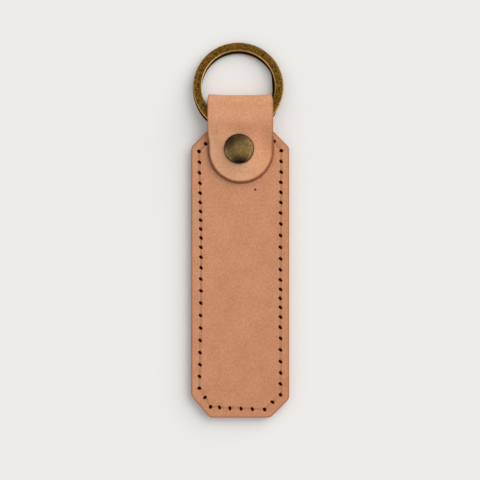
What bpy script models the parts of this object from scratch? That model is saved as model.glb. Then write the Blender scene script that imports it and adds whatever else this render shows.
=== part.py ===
"""Leather keychain: a two-layer sewn tag whose strap folds round a split ring and closes with a press stud.

The keychain lies on its back. Z is up, Y runs along the tag towards the ring, and the origin is the
middle of the tag's back face.
"""

import math

import bmesh
import bpy
from mathutils import Vector

MM = 0.001

# Leather tag: outline, cut corners and layers
TAG_LENGTH = 95.2 * MM
SHOULDER_WIDTH = 5.4 * MM
SHOULDER_DROP = 5.6 * MM
LEFT_CUT_WIDTH = 6.1 * MM
LEFT_CUT_HEIGHT = 7.3 * MM
RIGHT_CUT_WIDTH = 6.2 * MM
RIGHT_CUT_HEIGHT = 6.2 * MM
CORNER_RADIUS = 2.0 * MM
LEATHER_THICKNESS = 1.6 * MM
GLUE_LINE = 0.15 * MM
EDGE_ROUND = 0.25 * MM

# Strap: in one with the back panel, folded over the ring
NECK_CORNER_RADIUS = 0.6 * MM
FOLD_DROP = 0.17 * MM
LOOP_SLACK = 1.16 * MM
LEATHER_BREAK = 0.1 * MM
TIP_DIP = 1.9 * MM
FOLD_STEPS = 16
FLAP_STEPS = 28

# Seam: saddle-stitched holes along the edge, with the thread sunk in a groove
SEAM_INSET = 2.9 * MM
SEAM_END_GAP = 0.4 * MM
STITCH_PITCH = 3.55 * MM
LEFT_DRIFT = -3.337 * MM
LEFT_DRIFT_SECOND = 0.6035 * MM
LEFT_DRIFT_THIRD = 0.8165 * MM
BOTTOM_DRIFT = -0.7455 * MM
RIGHT_DRIFT = 0.213 * MM
RIGHT_DRIFT_SECOND = 0.3905 * MM
RIGHT_DRIFT_THIRD = 0.6035 * MM
LEG_DRIFTS = (
    (),
    (LEFT_DRIFT, LEFT_DRIFT_SECOND, LEFT_DRIFT_THIRD),
    (),
    (BOTTOM_DRIFT,),
    (),
    (RIGHT_DRIFT, RIGHT_DRIFT_SECOND, RIGHT_DRIFT_THIRD),
    (),
)
THREAD_RADIUS = 0.16 * MM
THREAD_CLEARANCE = 0.07 * MM
THREAD_COVER = 0.06 * MM
GROOVE_SIDE_CLEARANCE = 0.19 * MM
THREAD_DIP = 0.42 * MM
DIP_SLOPE_LENGTH = 0.24 * MM
DIP_FLOOR_SHARE = 0.75
HOLE_END_CLEARANCE = 0.48 * MM
HOLE_SIDE_CLEARANCE = 0.28 * MM
HOLE_SLANT = math.radians(45.0)
HOLE_SIDES = 6

# Split ring: one flat wire in two turns
RING_DIAMETER = 30.0 * MM
RING_BAND = 2.85 * MM
RING_WIRE_THICKNESS = 0.85 * MM
RING_TURN_GAP = 0.42 * MM
RING_BEVEL = 0.2 * MM
RING_LAP = 0.55 * MM
RING_REST_GAP = 0.3 * MM
RING_FLOOR_GAP = 0.05 * MM
RING_STRAP_CLEARANCE = 0.15 * MM
RING_SIDE_CLEARANCE = 1.3 * MM
RING_STEPS_PER_TURN = 48
CROSSOVER_CENTRE = math.radians(-62.0)
CROSSOVER_HALF_ANGLE = math.radians(20.0)

# Press stud, all on one axis
SNAP_OFFSET_X = -0.4 * MM
FIT = 0.1 * MM
CAP_DIAMETER = 9.9 * MM
CAP_HEIGHT = 1.9 * MM
CAP_WALL = 0.35 * MM
CAP_TO_EDGE = 1.39 * MM
TAB_CENTRE_RISE = 0.34 * MM
CAP_ROLL_WIDTH = 0.9 * MM
CAP_ROLL_THICKNESS = 0.25 * MM
RIVET_FLANGE_THICKNESS = 0.25 * MM
RIVET_BARREL_RADIUS = 1.1 * MM
RIVET_BARREL_WALL = 0.3 * MM
CLENCH_FLARE = 0.45 * MM
CLENCH_THICKNESS = 0.2 * MM
SOCKET_FLANGE_WIDTH = 0.93 * MM
SOCKET_PLATE_THICKNESS = 0.25 * MM
SOCKET_WALL = 0.45 * MM
SOCKET_LIP_THICKNESS = 0.15 * MM
SOCKET_LIP_WIDTH = 0.34 * MM
SPRING_WIRE = 0.4 * MM
SPRING_WIRE_SIDES = 8
STUD_FLANGE_RADIUS = 3.3 * MM
STUD_FLANGE_THICKNESS = 0.3 * MM
STUD_NECK_WALL = 0.42 * MM
STUD_BULB_STEP = 0.36 * MM
STUD_BULB_RISE = 0.3 * MM
STUD_CROWN = 0.22 * MM
STUD_WALL = 0.3 * MM
POST_FLANGE_RADIUS = 3.2 * MM
POST_FLANGE_THICKNESS = 0.4 * MM
POST_BARREL_RADIUS = 0.8 * MM
HOLE_CLEARANCE = 0.3 * MM
TURN_STEPS = 24
CAP_DOME_STEPS = 6

CUT_OVERRUN = 1.0 * MM
WELD_DISTANCE = 0.001 * MM
SHARP_ANGLE = math.radians(30.0)
CORNER_ARC_STEPS = 4
TAB_ARC_STEPS = 28

# Split ring and strap: the strap is as wide as the ring's bore allows
RING_RADIUS = RING_DIAMETER / 2
RING_INNER_RADIUS = RING_RADIUS - RING_BAND
RING_MEAN_RADIUS = RING_RADIUS - RING_BAND / 2
STRAP_WIDTH = 2 * (RING_INNER_RADIUS - RING_SIDE_CLEARANCE)
TAG_WIDTH = STRAP_WIDTH + 2 * SHOULDER_WIDTH

# Heights of the layers, from the back face up
NECK_TOP = LEATHER_THICKNESS
FRONT_BOTTOM = LEATHER_THICKNESS + GLUE_LINE
FRONT_TOP = FRONT_BOTTOM + LEATHER_THICKNESS
HALF_WIDTH = TAG_WIDTH / 2
HALF_LENGTH = TAG_LENGTH / 2
HALF_STRAP = STRAP_WIDTH / 2

# Groove, thread and holes of the seam
GROOVE_DEPTH = THREAD_COVER + 2 * THREAD_RADIUS + THREAD_CLEARANCE
GROOVE_WIDTH = 2 * (THREAD_RADIUS + GROOVE_SIDE_CLEARANCE)
HOLE_LENGTH = 2 * (THREAD_RADIUS + HOLE_END_CLEARANCE)
HOLE_WIDTH = 2 * (THREAD_RADIUS + HOLE_SIDE_CLEARANCE)
DIP_FLOOR_HALF_LENGTH = DIP_FLOOR_SHARE * THREAD_RADIUS
DIP_HALF_LENGTH = DIP_FLOOR_HALF_LENGTH + DIP_SLOPE_LENGTH

# Heights of the closed press stud, from the front panel up
STUD_BOTTOM = FRONT_TOP + FIT
STUD_FLANGE_TOP = STUD_BOTTOM + STUD_FLANGE_THICKNESS
SOCKET_BOTTOM = STUD_FLANGE_TOP + FIT
SPRING_HEIGHT = SOCKET_BOTTOM + SOCKET_LIP_THICKNESS + FIT + SPRING_WIRE / 2
BULB_START = SPRING_HEIGHT + FIT
BULB_WIDEST = BULB_START + STUD_BULB_RISE
STUD_TOP = BULB_WIDEST + STUD_CROWN
CLENCH_BOTTOM = STUD_TOP + FIT
CLENCH_TOP = CLENCH_BOTTOM + CLENCH_THICKNESS
PLATE_BOTTOM = CLENCH_TOP + FIT
PLATE_TOP = PLATE_BOTTOM + SOCKET_PLATE_THICKNESS
FLAP_UNDER = PLATE_TOP + FIT
FLAP_TOP = FLAP_UNDER + LEATHER_THICKNESS
CAP_BOTTOM = FLAP_TOP + FIT
RIVET_FLANGE_BOTTOM = CAP_BOTTOM + CAP_ROLL_THICKNESS + FIT
RIVET_FLANGE_TOP = RIVET_FLANGE_BOTTOM + RIVET_FLANGE_THICKNESS

# Radii that follow from their neighbours
STUD_BORE_RADIUS = POST_BARREL_RADIUS + FIT
STUD_NECK_RADIUS = STUD_BORE_RADIUS + STUD_NECK_WALL
STUD_BULB_RADIUS = STUD_NECK_RADIUS + STUD_BULB_STEP
SPRING_RADIUS = STUD_NECK_RADIUS + 2 * FIT + SPRING_WIRE / 2
SOCKET_MOUTH_RADIUS = STUD_BULB_RADIUS + 2 * FIT
SOCKET_CAVITY_RADIUS = SOCKET_MOUTH_RADIUS + SOCKET_LIP_WIDTH
SOCKET_BODY_RADIUS = SOCKET_CAVITY_RADIUS + SOCKET_WALL
SOCKET_FLANGE_RADIUS = SOCKET_BODY_RADIUS + SOCKET_FLANGE_WIDTH
STRAP_HOLE_RADIUS = RIVET_BARREL_RADIUS + HOLE_CLEARANCE
PANEL_HOLE_RADIUS = POST_BARREL_RADIUS + HOLE_CLEARANCE
COUNTERBORE_RADIUS = POST_FLANGE_RADIUS + HOLE_CLEARANCE
COUNTERBORE_DEPTH = POST_FLANGE_THICKNESS + 2 * FIT
CAP_RADIUS = CAP_DIAMETER / 2
RIVET_FLANGE_RADIUS = CAP_RADIUS - CAP_WALL - FIT

# Tab: its rounded end is centred a little above the press stud
SNAP_Y = HALF_LENGTH - CAP_TO_EDGE - CAP_RADIUS
TAB_CENTRE_Y = SNAP_Y + TAB_CENTRE_RISE
TAB_TIP_Y = TAB_CENTRE_Y - HALF_STRAP

# Split ring: it leans on the front panel's edge and its far side reaches down to the rest plane
RING_TURN_PITCH = RING_WIRE_THICKNESS + RING_TURN_GAP
RING_THICKNESS = RING_TURN_PITCH + RING_WIRE_THICKNESS
RING_NEAR_Y = HALF_LENGTH - RING_LAP
RING_NEAR_Z = FRONT_TOP + RING_REST_GAP
RING_TILT = math.asin((RING_NEAR_Z - RING_FLOOR_GAP) / RING_DIAMETER)
RING_CENTRE_Y = RING_NEAR_Y + RING_RADIUS * math.cos(RING_TILT) + RING_THICKNESS / 2 * math.sin(RING_TILT)
RING_CENTRE_Z = RING_NEAR_Z - RING_RADIUS * math.sin(RING_TILT) + RING_THICKNESS / 2 * math.cos(RING_TILT)
RING_CREST_Y = RING_NEAR_Y + RING_THICKNESS * math.sin(RING_TILT)
RING_CREST_Z = RING_NEAR_Z + RING_THICKNESS * math.cos(RING_TILT)

# Strap's fold: its bore clears the ring where the ring leaves the loop at the strap's edges
FOLD_INNER_RADIUS = (FLAP_UNDER - FOLD_DROP - NECK_TOP) / 2
FOLD_OUTER_RADIUS = FOLD_INNER_RADIUS + LEATHER_THICKNESS
RING_EXIT_Y = RING_CENTRE_Y - math.sqrt(RING_INNER_RADIUS ** 2 - HALF_STRAP ** 2) * math.cos(RING_TILT)
FOLD_CENTRE_Y = RING_EXIT_Y + LOOP_SLACK - FOLD_INNER_RADIUS
FOLD_CENTRE_Z = NECK_TOP + FOLD_INNER_RADIUS


def clear_scene():
    """Removes every object of the open scene."""
    for old in list(bpy.data.objects):
        bpy.data.objects.remove(old, do_unlink=True)


def new_collection(name):
    """Makes a collection in the scene."""
    collection = bpy.data.collections.new(name)
    bpy.context.scene.collection.children.link(collection)
    return collection


def new_material(name, color, roughness, metallic=0.0):
    """Makes a Principled material from a linear colour."""
    material = bpy.data.materials.new(name)
    material.use_nodes = True
    shader = material.node_tree.nodes["Principled BSDF"]
    shader.inputs["Base Color"].default_value = (*color, 1.0)
    shader.inputs["Roughness"].default_value = roughness
    shader.inputs["Metallic"].default_value = metallic
    return material


def place(obj, collection, material=None):
    """Links an object and gives it its material."""
    collection.objects.link(obj)
    if material is not None:
        obj.data.materials.clear()
        obj.data.materials.append(material)
    return obj


def hide_cutter(obj, cutters):
    """Links an object as a cutter, which is not part of the model."""
    cutters.objects.link(obj)
    obj.hide_render = True
    obj.display_type = "WIRE"
    return obj


def fillet(before, corner, after, radius, steps):
    """Points of the arc that rounds one corner of an outline."""
    corner = Vector(corner)
    back = (Vector(before) - corner).normalized()
    ahead = (Vector(after) - corner).normalized()
    half_angle = back.angle(ahead) / 2
    reach = radius / math.tan(half_angle)
    centre = corner + (back + ahead).normalized() * (radius / math.sin(half_angle))
    start = corner + back * reach - centre
    end = corner + ahead * reach - centre
    sweep = start.angle_signed(end)
    points = []
    for step in range(steps + 1):
        angle = -sweep * step / steps
        turned = Vector((
            start.x * math.cos(angle) - start.y * math.sin(angle),
            start.x * math.sin(angle) + start.y * math.cos(angle),
        ))
        points.append(tuple(centre + turned))
    return points


def round_outline(corners):
    """Rounds a closed outline, given as (x, y, radius) corners in order."""
    points = []
    count = len(corners)
    for index, (x, y, radius) in enumerate(corners):
        if radius == 0:
            points.append((x, y))
            continue
        before = corners[index - 1][:2]
        after = corners[(index + 1) % count][:2]
        points.extend(fillet(before, (x, y), after, radius, CORNER_ARC_STEPS))
    return points


def curve_to_mesh(curve_object, name):
    """Turns a curve into a welded mesh object with its faces pointing out, and removes the curve."""
    bpy.context.scene.collection.objects.link(curve_object)
    bpy.context.view_layer.update()
    evaluated = curve_object.evaluated_get(bpy.context.evaluated_depsgraph_get())
    mesh = bpy.data.meshes.new_from_object(evaluated)
    mesh.name = name
    result = bpy.data.objects.new(name, mesh)
    result.matrix_world = curve_object.matrix_world
    bpy.data.objects.remove(curve_object, do_unlink=True)
    shape = bmesh.new()
    shape.from_mesh(mesh)
    bmesh.ops.remove_doubles(shape, verts=shape.verts, dist=WELD_DISTANCE)
    bmesh.ops.recalc_face_normals(shape, faces=shape.faces)
    shape.to_mesh(mesh)
    shape.free()
    return result


def flat_piece(name, points, thickness, edge_round=0.0):
    """A flat outline given a thickness about its own plane, with rounded edges."""
    curve = bpy.data.curves.new(name, "CURVE")
    curve.dimensions = "2D"
    curve.fill_mode = "BOTH"
    curve.extrude = thickness / 2 - edge_round
    curve.bevel_depth = edge_round
    curve.bevel_resolution = 0
    curve.offset = -edge_round
    spline = curve.splines.new("POLY")
    spline.points.add(len(points) - 1)
    for point, (x, y) in zip(spline.points, points):
        point.co = (x, y, 0.0, 1.0)
    spline.use_cyclic_u = True
    return curve_to_mesh(bpy.data.objects.new(name + "_curve", curve), name)


def side_piece(name, points, width):
    """A side outline in Y and Z, given a width along X."""
    piece = flat_piece(name, points, width)
    for vertex in piece.data.vertices:
        side_y, side_z, across = vertex.co
        vertex.co = (across, side_y, side_z)
    return piece


def turned_piece(name, profile, closed, collection, material):
    """Turns a profile of (radius, height) points about the press stud's axis.

    An open profile starts and ends on the axis; a closed one goes round a piece with a bore.
    """
    mesh = bpy.data.meshes.new(name)
    count = len(profile)
    edges = [(index, index + 1) for index in range(count - 1)]
    if closed:
        edges.append((count - 1, 0))
    mesh.from_pydata([(radius, 0.0, height) for radius, height in profile], edges, [])
    piece = bpy.data.objects.new(name, mesh)
    piece.location = (SNAP_OFFSET_X, SNAP_Y, 0.0)
    screw = piece.modifiers.new("turn", "SCREW")
    screw.steps = TURN_STEPS
    screw.render_steps = TURN_STEPS
    screw.use_merge_vertices = True
    screw.merge_threshold = WELD_DISTANCE
    screw.use_smooth_shade = True
    return place(piece, collection, material)


def axial_cutter(name, radius, bottom, top, cutters):
    """A cylinder on the press stud's axis that cuts a hole."""
    mesh = bpy.data.meshes.new(name)
    shape = bmesh.new()
    bmesh.ops.create_cone(
        shape, cap_ends=True, segments=TURN_STEPS, radius1=radius, radius2=radius, depth=top - bottom
    )
    shape.to_mesh(mesh)
    shape.free()
    cutter = bpy.data.objects.new(name, mesh)
    cutter.location = (SNAP_OFFSET_X, SNAP_Y, (top + bottom) / 2)
    return hide_cutter(cutter, cutters)


def combine(piece, other, operation):
    """Adds a Boolean modifier."""
    boolean = piece.modifiers.new(operation.lower() + "_" + other.name, "BOOLEAN")
    boolean.operation = operation
    boolean.solver = "EXACT"
    boolean.object = other


def tag_corners():
    """Corners of the tag from the strap's left edge, anticlockwise, to the strap's right edge."""
    return [
        (-HALF_STRAP, HALF_LENGTH),
        (-HALF_WIDTH, HALF_LENGTH - SHOULDER_DROP),
        (-HALF_WIDTH, -HALF_LENGTH + LEFT_CUT_HEIGHT),
        (-HALF_WIDTH + LEFT_CUT_WIDTH, -HALF_LENGTH),
        (HALF_WIDTH - RIGHT_CUT_WIDTH, -HALF_LENGTH),
        (HALF_WIDTH, -HALF_LENGTH + RIGHT_CUT_HEIGHT),
        (HALF_WIDTH, HALF_LENGTH - SHOULDER_DROP),
        (HALF_STRAP, HALF_LENGTH),
    ]


def inset_line(start, end):
    """The line through two corners, moved towards the tag's middle by the seam's inset."""
    direction = (Vector(end) - Vector(start)).normalized()
    inward = Vector((-direction.y, direction.x))
    return Vector(start) + inward * SEAM_INSET, direction


def crossing(line, other):
    """The point where two lines cross."""
    (point, direction), (other_point, other_direction) = line, other
    apart = other_point - point
    turn = direction.cross(other_direction)
    return point + direction * (apart.cross(other_direction) / turn)


def seam_path():
    """Corners of the seam: the tag's outline moved in, with its open ends at the strap's edges."""
    corners = tag_corners()
    lines = [inset_line(start, end) for start, end in zip(corners, corners[1:])]
    end_x = HALF_STRAP + SEAM_END_GAP
    left_edge = (Vector((-end_x, 0.0)), Vector((0.0, 1.0)))
    right_edge = (Vector((end_x, 0.0)), Vector((0.0, 1.0)))
    path = [crossing(lines[0], left_edge)]
    path.extend(crossing(line, following) for line, following in zip(lines, lines[1:]))
    path.append(crossing(lines[-1], right_edge))
    return path


def along(path, distance):
    """The point and the direction at a distance along a path, which runs on straight past its ends."""
    for start, end in zip(path, path[1:]):
        direction = (end - start).normalized()
        length = (end - start).length
        if distance <= length or end == path[-1]:
            return start + direction * distance, direction
        distance -= length
    return None


def stitch_distances(path):
    """Distances of the stitch holes along the seam: one at each corner, the others spaced as by hand."""
    places = [0.0]
    travelled = 0.0
    for start, end, waves in zip(path, path[1:], LEG_DRIFTS):
        length = (end - start).length
        count = max(1, round(length / STITCH_PITCH))
        for index in range(1, count + 1):
            share = index / count
            drift = sum(wave * math.sin(math.pi * (turn + 1) * share) for turn, wave in enumerate(waves))
            places.append(travelled + length * share + drift)
        travelled += length
    return places


def corner_distances(path):
    """Distances of the seam's corners along it, without its ends."""
    travelled = 0.0
    corners = []
    for start, end in zip(path, path[1:-1]):
        travelled += (end - start).length
        corners.append(travelled)
    return corners


def stitch_holes(cutters):
    """Holes of the whole seam, through both layers: slanted along the sides and round at the corners."""
    path = seam_path()
    corners = corner_distances(path)
    mesh = bpy.data.meshes.new("stitch_holes")
    shape = bmesh.new()
    depth = FRONT_TOP + 2 * CUT_OVERRUN
    for distance in stitch_distances(path):
        point, direction = along(path, distance)
        made = bmesh.ops.create_cone(
            shape,
            cap_ends=True,
            segments=HOLE_SIDES,
            radius1=HOLE_LENGTH / 2,
            radius2=HOLE_LENGTH / 2,
            depth=depth,
        )
        if min(abs(distance - corner) for corner in corners) > HOLE_LENGTH:
            bmesh.ops.scale(shape, verts=made["verts"], vec=(1.0, HOLE_WIDTH / HOLE_LENGTH, 1.0))
        slant = math.atan2(direction.y, direction.x) + HOLE_SLANT
        for vertex in made["verts"]:
            x, y, z = vertex.co
            vertex.co = (
                point.x + x * math.cos(slant) - y * math.sin(slant),
                point.y + x * math.sin(slant) + y * math.cos(slant),
                FRONT_TOP / 2 + z,
            )
    shape.to_mesh(mesh)
    shape.free()
    return hide_cutter(bpy.data.objects.new("stitch_holes", mesh), cutters)


def swept_section(name, points, section):
    """Sweeps a closed upright section of (across, up) points along a path."""
    profile = bpy.data.curves.new(name + "_section", "CURVE")
    profile.dimensions = "2D"
    outline = profile.splines.new("POLY")
    outline.points.add(len(section) - 1)
    for point, (across, up) in zip(outline.points, section):
        point.co = (across, up, 0.0, 1.0)
    outline.use_cyclic_u = True
    profile_object = bpy.data.objects.new(name + "_section", profile)
    bpy.context.scene.collection.objects.link(profile_object)
    curve = bpy.data.curves.new(name, "CURVE")
    curve.dimensions = "3D"
    curve.twist_mode = "Z_UP"
    curve.bevel_mode = "OBJECT"
    curve.bevel_object = profile_object
    curve.use_fill_caps = True
    spline = curve.splines.new("POLY")
    spline.points.add(len(points) - 1)
    for point, place_at in zip(spline.points, points):
        point.co = (*place_at, 1.0)
    piece = curve_to_mesh(bpy.data.objects.new(name + "_curve", curve), name)
    bpy.data.objects.remove(profile_object, do_unlink=True)
    return piece


def seam_groove(name, surface, depth_sign, cutters):
    """The cutter of one face's groove, a square channel along the seam."""
    path = seam_path()
    first = path[0] - (path[1] - path[0]).normalized() * GROOVE_WIDTH
    last = path[-1] + (path[-1] - path[-2]).normalized() * GROOVE_WIDTH
    points = [(*point, surface) for point in [first, *path[1:-1], last]]
    half = GROOVE_WIDTH / 2
    inner = -depth_sign * GROOVE_DEPTH
    outer = depth_sign * CUT_OVERRUN
    section = [(-half, inner), (half, inner), (half, outer), (-half, outer)]
    return hide_cutter(swept_section(name, points, section), cutters)


def thread(name, surface, depth_sign, collection, material):
    """One sewing thread: along the groove, and down into each hole where it locks with the other."""
    path = seam_path()
    run = GROOVE_DEPTH - THREAD_CLEARANCE - THREAD_RADIUS
    bottom = run + THREAD_DIP
    holes = stitch_distances(path)
    stations = []
    for distance in holes:
        stations.append((distance - DIP_HALF_LENGTH, run))
        stations.append((distance - DIP_FLOOR_HALF_LENGTH, bottom))
        stations.append((distance + DIP_FLOOR_HALF_LENGTH, bottom))
        stations.append((distance + DIP_HALF_LENGTH, run))
    curve = bpy.data.curves.new(name, "CURVE")
    curve.dimensions = "3D"
    curve.bevel_depth = THREAD_RADIUS
    curve.bevel_resolution = 0
    curve.use_fill_caps = True
    spline = curve.splines.new("POLY")
    spline.points.add(len(stations) - 1)
    for point, (distance, depth) in zip(spline.points, stations):
        spot, _ = along(path, distance)
        point.co = (spot.x, spot.y, surface - depth_sign * depth, 1.0)
    return place(curve_to_mesh(bpy.data.objects.new(name + "_curve", curve), name), collection, material)


def panel_outline():
    """The front panel's outline."""
    corners = tag_corners()
    first, last = corners[0], corners[-1]
    rounded = [(x, y, CORNER_RADIUS) for x, y in corners[1:-1]]
    return round_outline([(*first, 0.0), *rounded, (*last, 0.0)])


def front_panel(collection, cutters, material, holes):
    """The front leather of the tag."""
    panel = flat_piece("front_panel", panel_outline(), LEATHER_THICKNESS, EDGE_ROUND)
    panel.location.z = FRONT_BOTTOM + LEATHER_THICKNESS / 2
    place(panel, collection, material)
    combine(panel, seam_groove("face_groove", FRONT_TOP, 1.0, cutters), "DIFFERENCE")
    combine(panel, holes, "DIFFERENCE")
    bore = axial_cutter("front_post_hole", PANEL_HOLE_RADIUS, FRONT_BOTTOM - CUT_OVERRUN,
                        FRONT_TOP + CUT_OVERRUN, cutters)
    combine(panel, bore, "DIFFERENCE")
    return panel


def back_panel(collection, cutters, material, holes):
    """The back leather of the tag, with the straight part of its strap."""
    corners = tag_corners()
    neck_end = FOLD_CENTRE_Y - LEATHER_BREAK / 2
    rounded = [(x, y, CORNER_RADIUS) for x, y in corners[1:-1]]
    outline = round_outline([
        (-HALF_STRAP, neck_end, 0.0),
        (-HALF_STRAP, corners[0][1], NECK_CORNER_RADIUS),
        *rounded,
        (HALF_STRAP, corners[-1][1], NECK_CORNER_RADIUS),
        (HALF_STRAP, neck_end, 0.0),
    ])
    panel = flat_piece("back_panel", outline, LEATHER_THICKNESS, EDGE_ROUND)
    panel.location.z = LEATHER_THICKNESS / 2
    place(panel, collection, material)
    combine(panel, seam_groove("back_groove", 0.0, -1.0, cutters), "DIFFERENCE")
    combine(panel, holes, "DIFFERENCE")
    bore = axial_cutter("back_post_hole", PANEL_HOLE_RADIUS, -CUT_OVERRUN,
                        LEATHER_THICKNESS + CUT_OVERRUN, cutters)
    combine(panel, bore, "DIFFERENCE")
    recess = axial_cutter("back_post_recess", COUNTERBORE_RADIUS, -CUT_OVERRUN, COUNTERBORE_DEPTH, cutters)
    combine(panel, recess, "DIFFERENCE")
    return panel


def fold_point(radius, angle):
    """A point of the fold's side outline."""
    return FOLD_CENTRE_Y + radius * math.cos(angle), FOLD_CENTRE_Z + radius * math.sin(angle)


def strap_fold(collection, material):
    """The strap's bend round the ring, from the neck to the tab."""
    trim = LEATHER_BREAK / 2 / FOLD_INNER_RADIUS
    start = -math.pi / 2 + trim
    sweep = math.pi - 2 * trim
    angles = [start + sweep * step / FOLD_STEPS for step in range(FOLD_STEPS + 1)]
    outer = [fold_point(FOLD_OUTER_RADIUS, angle) for angle in angles]
    inner = [fold_point(FOLD_INNER_RADIUS, angle) for angle in reversed(angles)]
    return place(side_piece("strap_fold", outer + inner, STRAP_WIDTH), collection, material)


def ease(share):
    """Smooth change from 0 to 1."""
    held = min(max(share, 0.0), 1.0)
    return held * held * (3 - 2 * held)


def flap_underside(y):
    """Height of the tab's underside: over the ring, level at the press stud, and down to the tip."""
    root = FOLD_CENTRE_Z + FOLD_INNER_RADIUS
    over_ring = max(RING_CREST_Z + RING_STRAP_CLEARANCE, FLAP_UNDER)
    clamp_top = SNAP_Y + CAP_RADIUS
    clamp_bottom = SNAP_Y - CAP_RADIUS
    crest = RING_CREST_Y + RING_BEVEL
    if y > crest:
        share = (y - crest) / (FOLD_CENTRE_Y - crest)
        return over_ring + (root - over_ring) * ease(share)
    if y > clamp_top:
        return FLAP_UNDER + (over_ring - FLAP_UNDER) * ease((y - clamp_top) / (crest - clamp_top))
    if y > clamp_bottom:
        return FLAP_UNDER
    share = (clamp_bottom - y) / (clamp_bottom - TAB_TIP_Y)
    return FLAP_UNDER - TIP_DIP * share * share


def strap_flap(collection, cutters, material):
    """The tab: its side outline, trimmed to the rounded end, with the rivet's hole."""
    start = TAB_TIP_Y - CUT_OVERRUN
    end = FOLD_CENTRE_Y + LEATHER_BREAK / 2
    stations = [start + (end - start) * step / FLAP_STEPS for step in range(FLAP_STEPS + 1)]
    under = [(y, flap_underside(y)) for y in stations]
    upper = [(y, z + LEATHER_THICKNESS) for y, z in reversed(under)]
    flap = side_piece("strap_flap", under + upper, STRAP_WIDTH + 2 * CUT_OVERRUN)
    place(flap, collection, material)
    outline = [(HALF_STRAP, end - LEATHER_BREAK), (-HALF_STRAP, end - LEATHER_BREAK)]
    for step in range(TAB_ARC_STEPS + 1):
        angle = math.pi + math.pi * step / TAB_ARC_STEPS
        outline.append((HALF_STRAP * math.cos(angle), TAB_CENTRE_Y + HALF_STRAP * math.sin(angle)))
    plan = flat_piece("tab_plan", outline, 2 * (FLAP_TOP + CUT_OVERRUN))
    plan.location.z = FLAP_UNDER
    combine(flap, hide_cutter(plan, cutters), "INTERSECT")
    bore = axial_cutter("tab_rivet_hole", STRAP_HOLE_RADIUS, FLAP_UNDER - CUT_OVERRUN,
                        FLAP_TOP + CUT_OVERRUN, cutters)
    combine(flap, bore, "DIFFERENCE")
    return flap


def cap_shell(collection, material):
    """The domed cap: a thin shell rolled in under the rivet's flange."""
    crown = CAP_BOTTOM + CAP_HEIGHT
    inner_radius = CAP_RADIUS - CAP_WALL
    outer = dome_points(CAP_RADIUS, RIVET_FLANGE_TOP, crown)
    inner = dome_points(inner_radius, RIVET_FLANGE_TOP, crown - CAP_WALL)
    roll_radius = CAP_RADIUS - CAP_ROLL_WIDTH
    roll_top = CAP_BOTTOM + CAP_ROLL_THICKNESS
    rim = [
        (CAP_RADIUS, CAP_BOTTOM + CAP_ROLL_THICKNESS / 2),
        (CAP_RADIUS - CAP_ROLL_THICKNESS / 2, CAP_BOTTOM),
        (roll_radius, CAP_BOTTOM),
        (roll_radius, roll_top),
        (inner_radius, roll_top),
    ]
    profile = outer + rim + list(reversed(inner))
    return turned_piece("cap_shell", profile, False, collection, material)


def dome_points(radius, edge_height, crown_height):
    """A dome's profile from its crown down to its edge."""
    points = []
    for step in range(CAP_DOME_STEPS + 1):
        angle = math.pi / 2 * step / CAP_DOME_STEPS
        height = edge_height + (crown_height - edge_height) * math.cos(angle)
        points.append((radius * math.sin(angle), height))
    points[0] = (0.0, crown_height)
    return points


def cap_rivet(collection, material):
    """The cap's rivet: a flange inside the shell, and a hollow barrel clenched under the socket's plate."""
    bore = RIVET_BARREL_RADIUS - RIVET_BARREL_WALL
    flare = RIVET_BARREL_RADIUS + CLENCH_FLARE
    profile = [
        (0.0, RIVET_FLANGE_TOP),
        (RIVET_FLANGE_RADIUS - RIVET_FLANGE_THICKNESS / 2, RIVET_FLANGE_TOP),
        (RIVET_FLANGE_RADIUS, RIVET_FLANGE_TOP - RIVET_FLANGE_THICKNESS / 2),
        (RIVET_FLANGE_RADIUS, RIVET_FLANGE_BOTTOM),
        (RIVET_BARREL_RADIUS, RIVET_FLANGE_BOTTOM),
        (RIVET_BARREL_RADIUS, CLENCH_TOP),
        (flare, CLENCH_TOP),
        (flare, CLENCH_TOP - CLENCH_THICKNESS / 2),
        (flare - CLENCH_THICKNESS, CLENCH_BOTTOM),
        (bore, CLENCH_BOTTOM),
        (bore, RIVET_FLANGE_TOP - RIVET_FLANGE_THICKNESS),
        (0.0, RIVET_FLANGE_TOP - RIVET_FLANGE_THICKNESS),
    ]
    return turned_piece("cap_rivet", profile, False, collection, material)


def snap_socket(collection, material):
    """The socket: a flange against the tab and a cup whose lip keeps the spring in."""
    plate_hole = RIVET_BARREL_RADIUS + FIT
    lip_top = SOCKET_BOTTOM + SOCKET_LIP_THICKNESS
    round_off = SOCKET_LIP_THICKNESS
    profile = [
        (plate_hole, PLATE_TOP),
        (SOCKET_FLANGE_RADIUS, PLATE_TOP),
        (SOCKET_FLANGE_RADIUS, PLATE_BOTTOM),
        (SOCKET_BODY_RADIUS, PLATE_BOTTOM),
        (SOCKET_BODY_RADIUS, SOCKET_BOTTOM + round_off),
        (SOCKET_BODY_RADIUS - round_off, SOCKET_BOTTOM),
        (SOCKET_MOUTH_RADIUS, SOCKET_BOTTOM),
        (SOCKET_MOUTH_RADIUS, lip_top),
        (SOCKET_CAVITY_RADIUS, lip_top),
        (SOCKET_CAVITY_RADIUS, PLATE_BOTTOM),
        (plate_hole, PLATE_BOTTOM),
    ]
    return turned_piece("snap_socket", profile, True, collection, material)


def socket_spring(collection, material):
    """The wire ring that grips the stud's neck."""
    bpy.ops.mesh.primitive_torus_add(
        location=(SNAP_OFFSET_X, SNAP_Y, SPRING_HEIGHT),
        major_radius=SPRING_RADIUS,
        minor_radius=SPRING_WIRE / 2,
        major_segments=TURN_STEPS,
        minor_segments=SPRING_WIRE_SIDES,
    )
    spring = bpy.context.object
    spring.name = "socket_spring"
    for holder in list(spring.users_collection):
        holder.objects.unlink(spring)
    return place(spring, collection, material)


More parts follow.
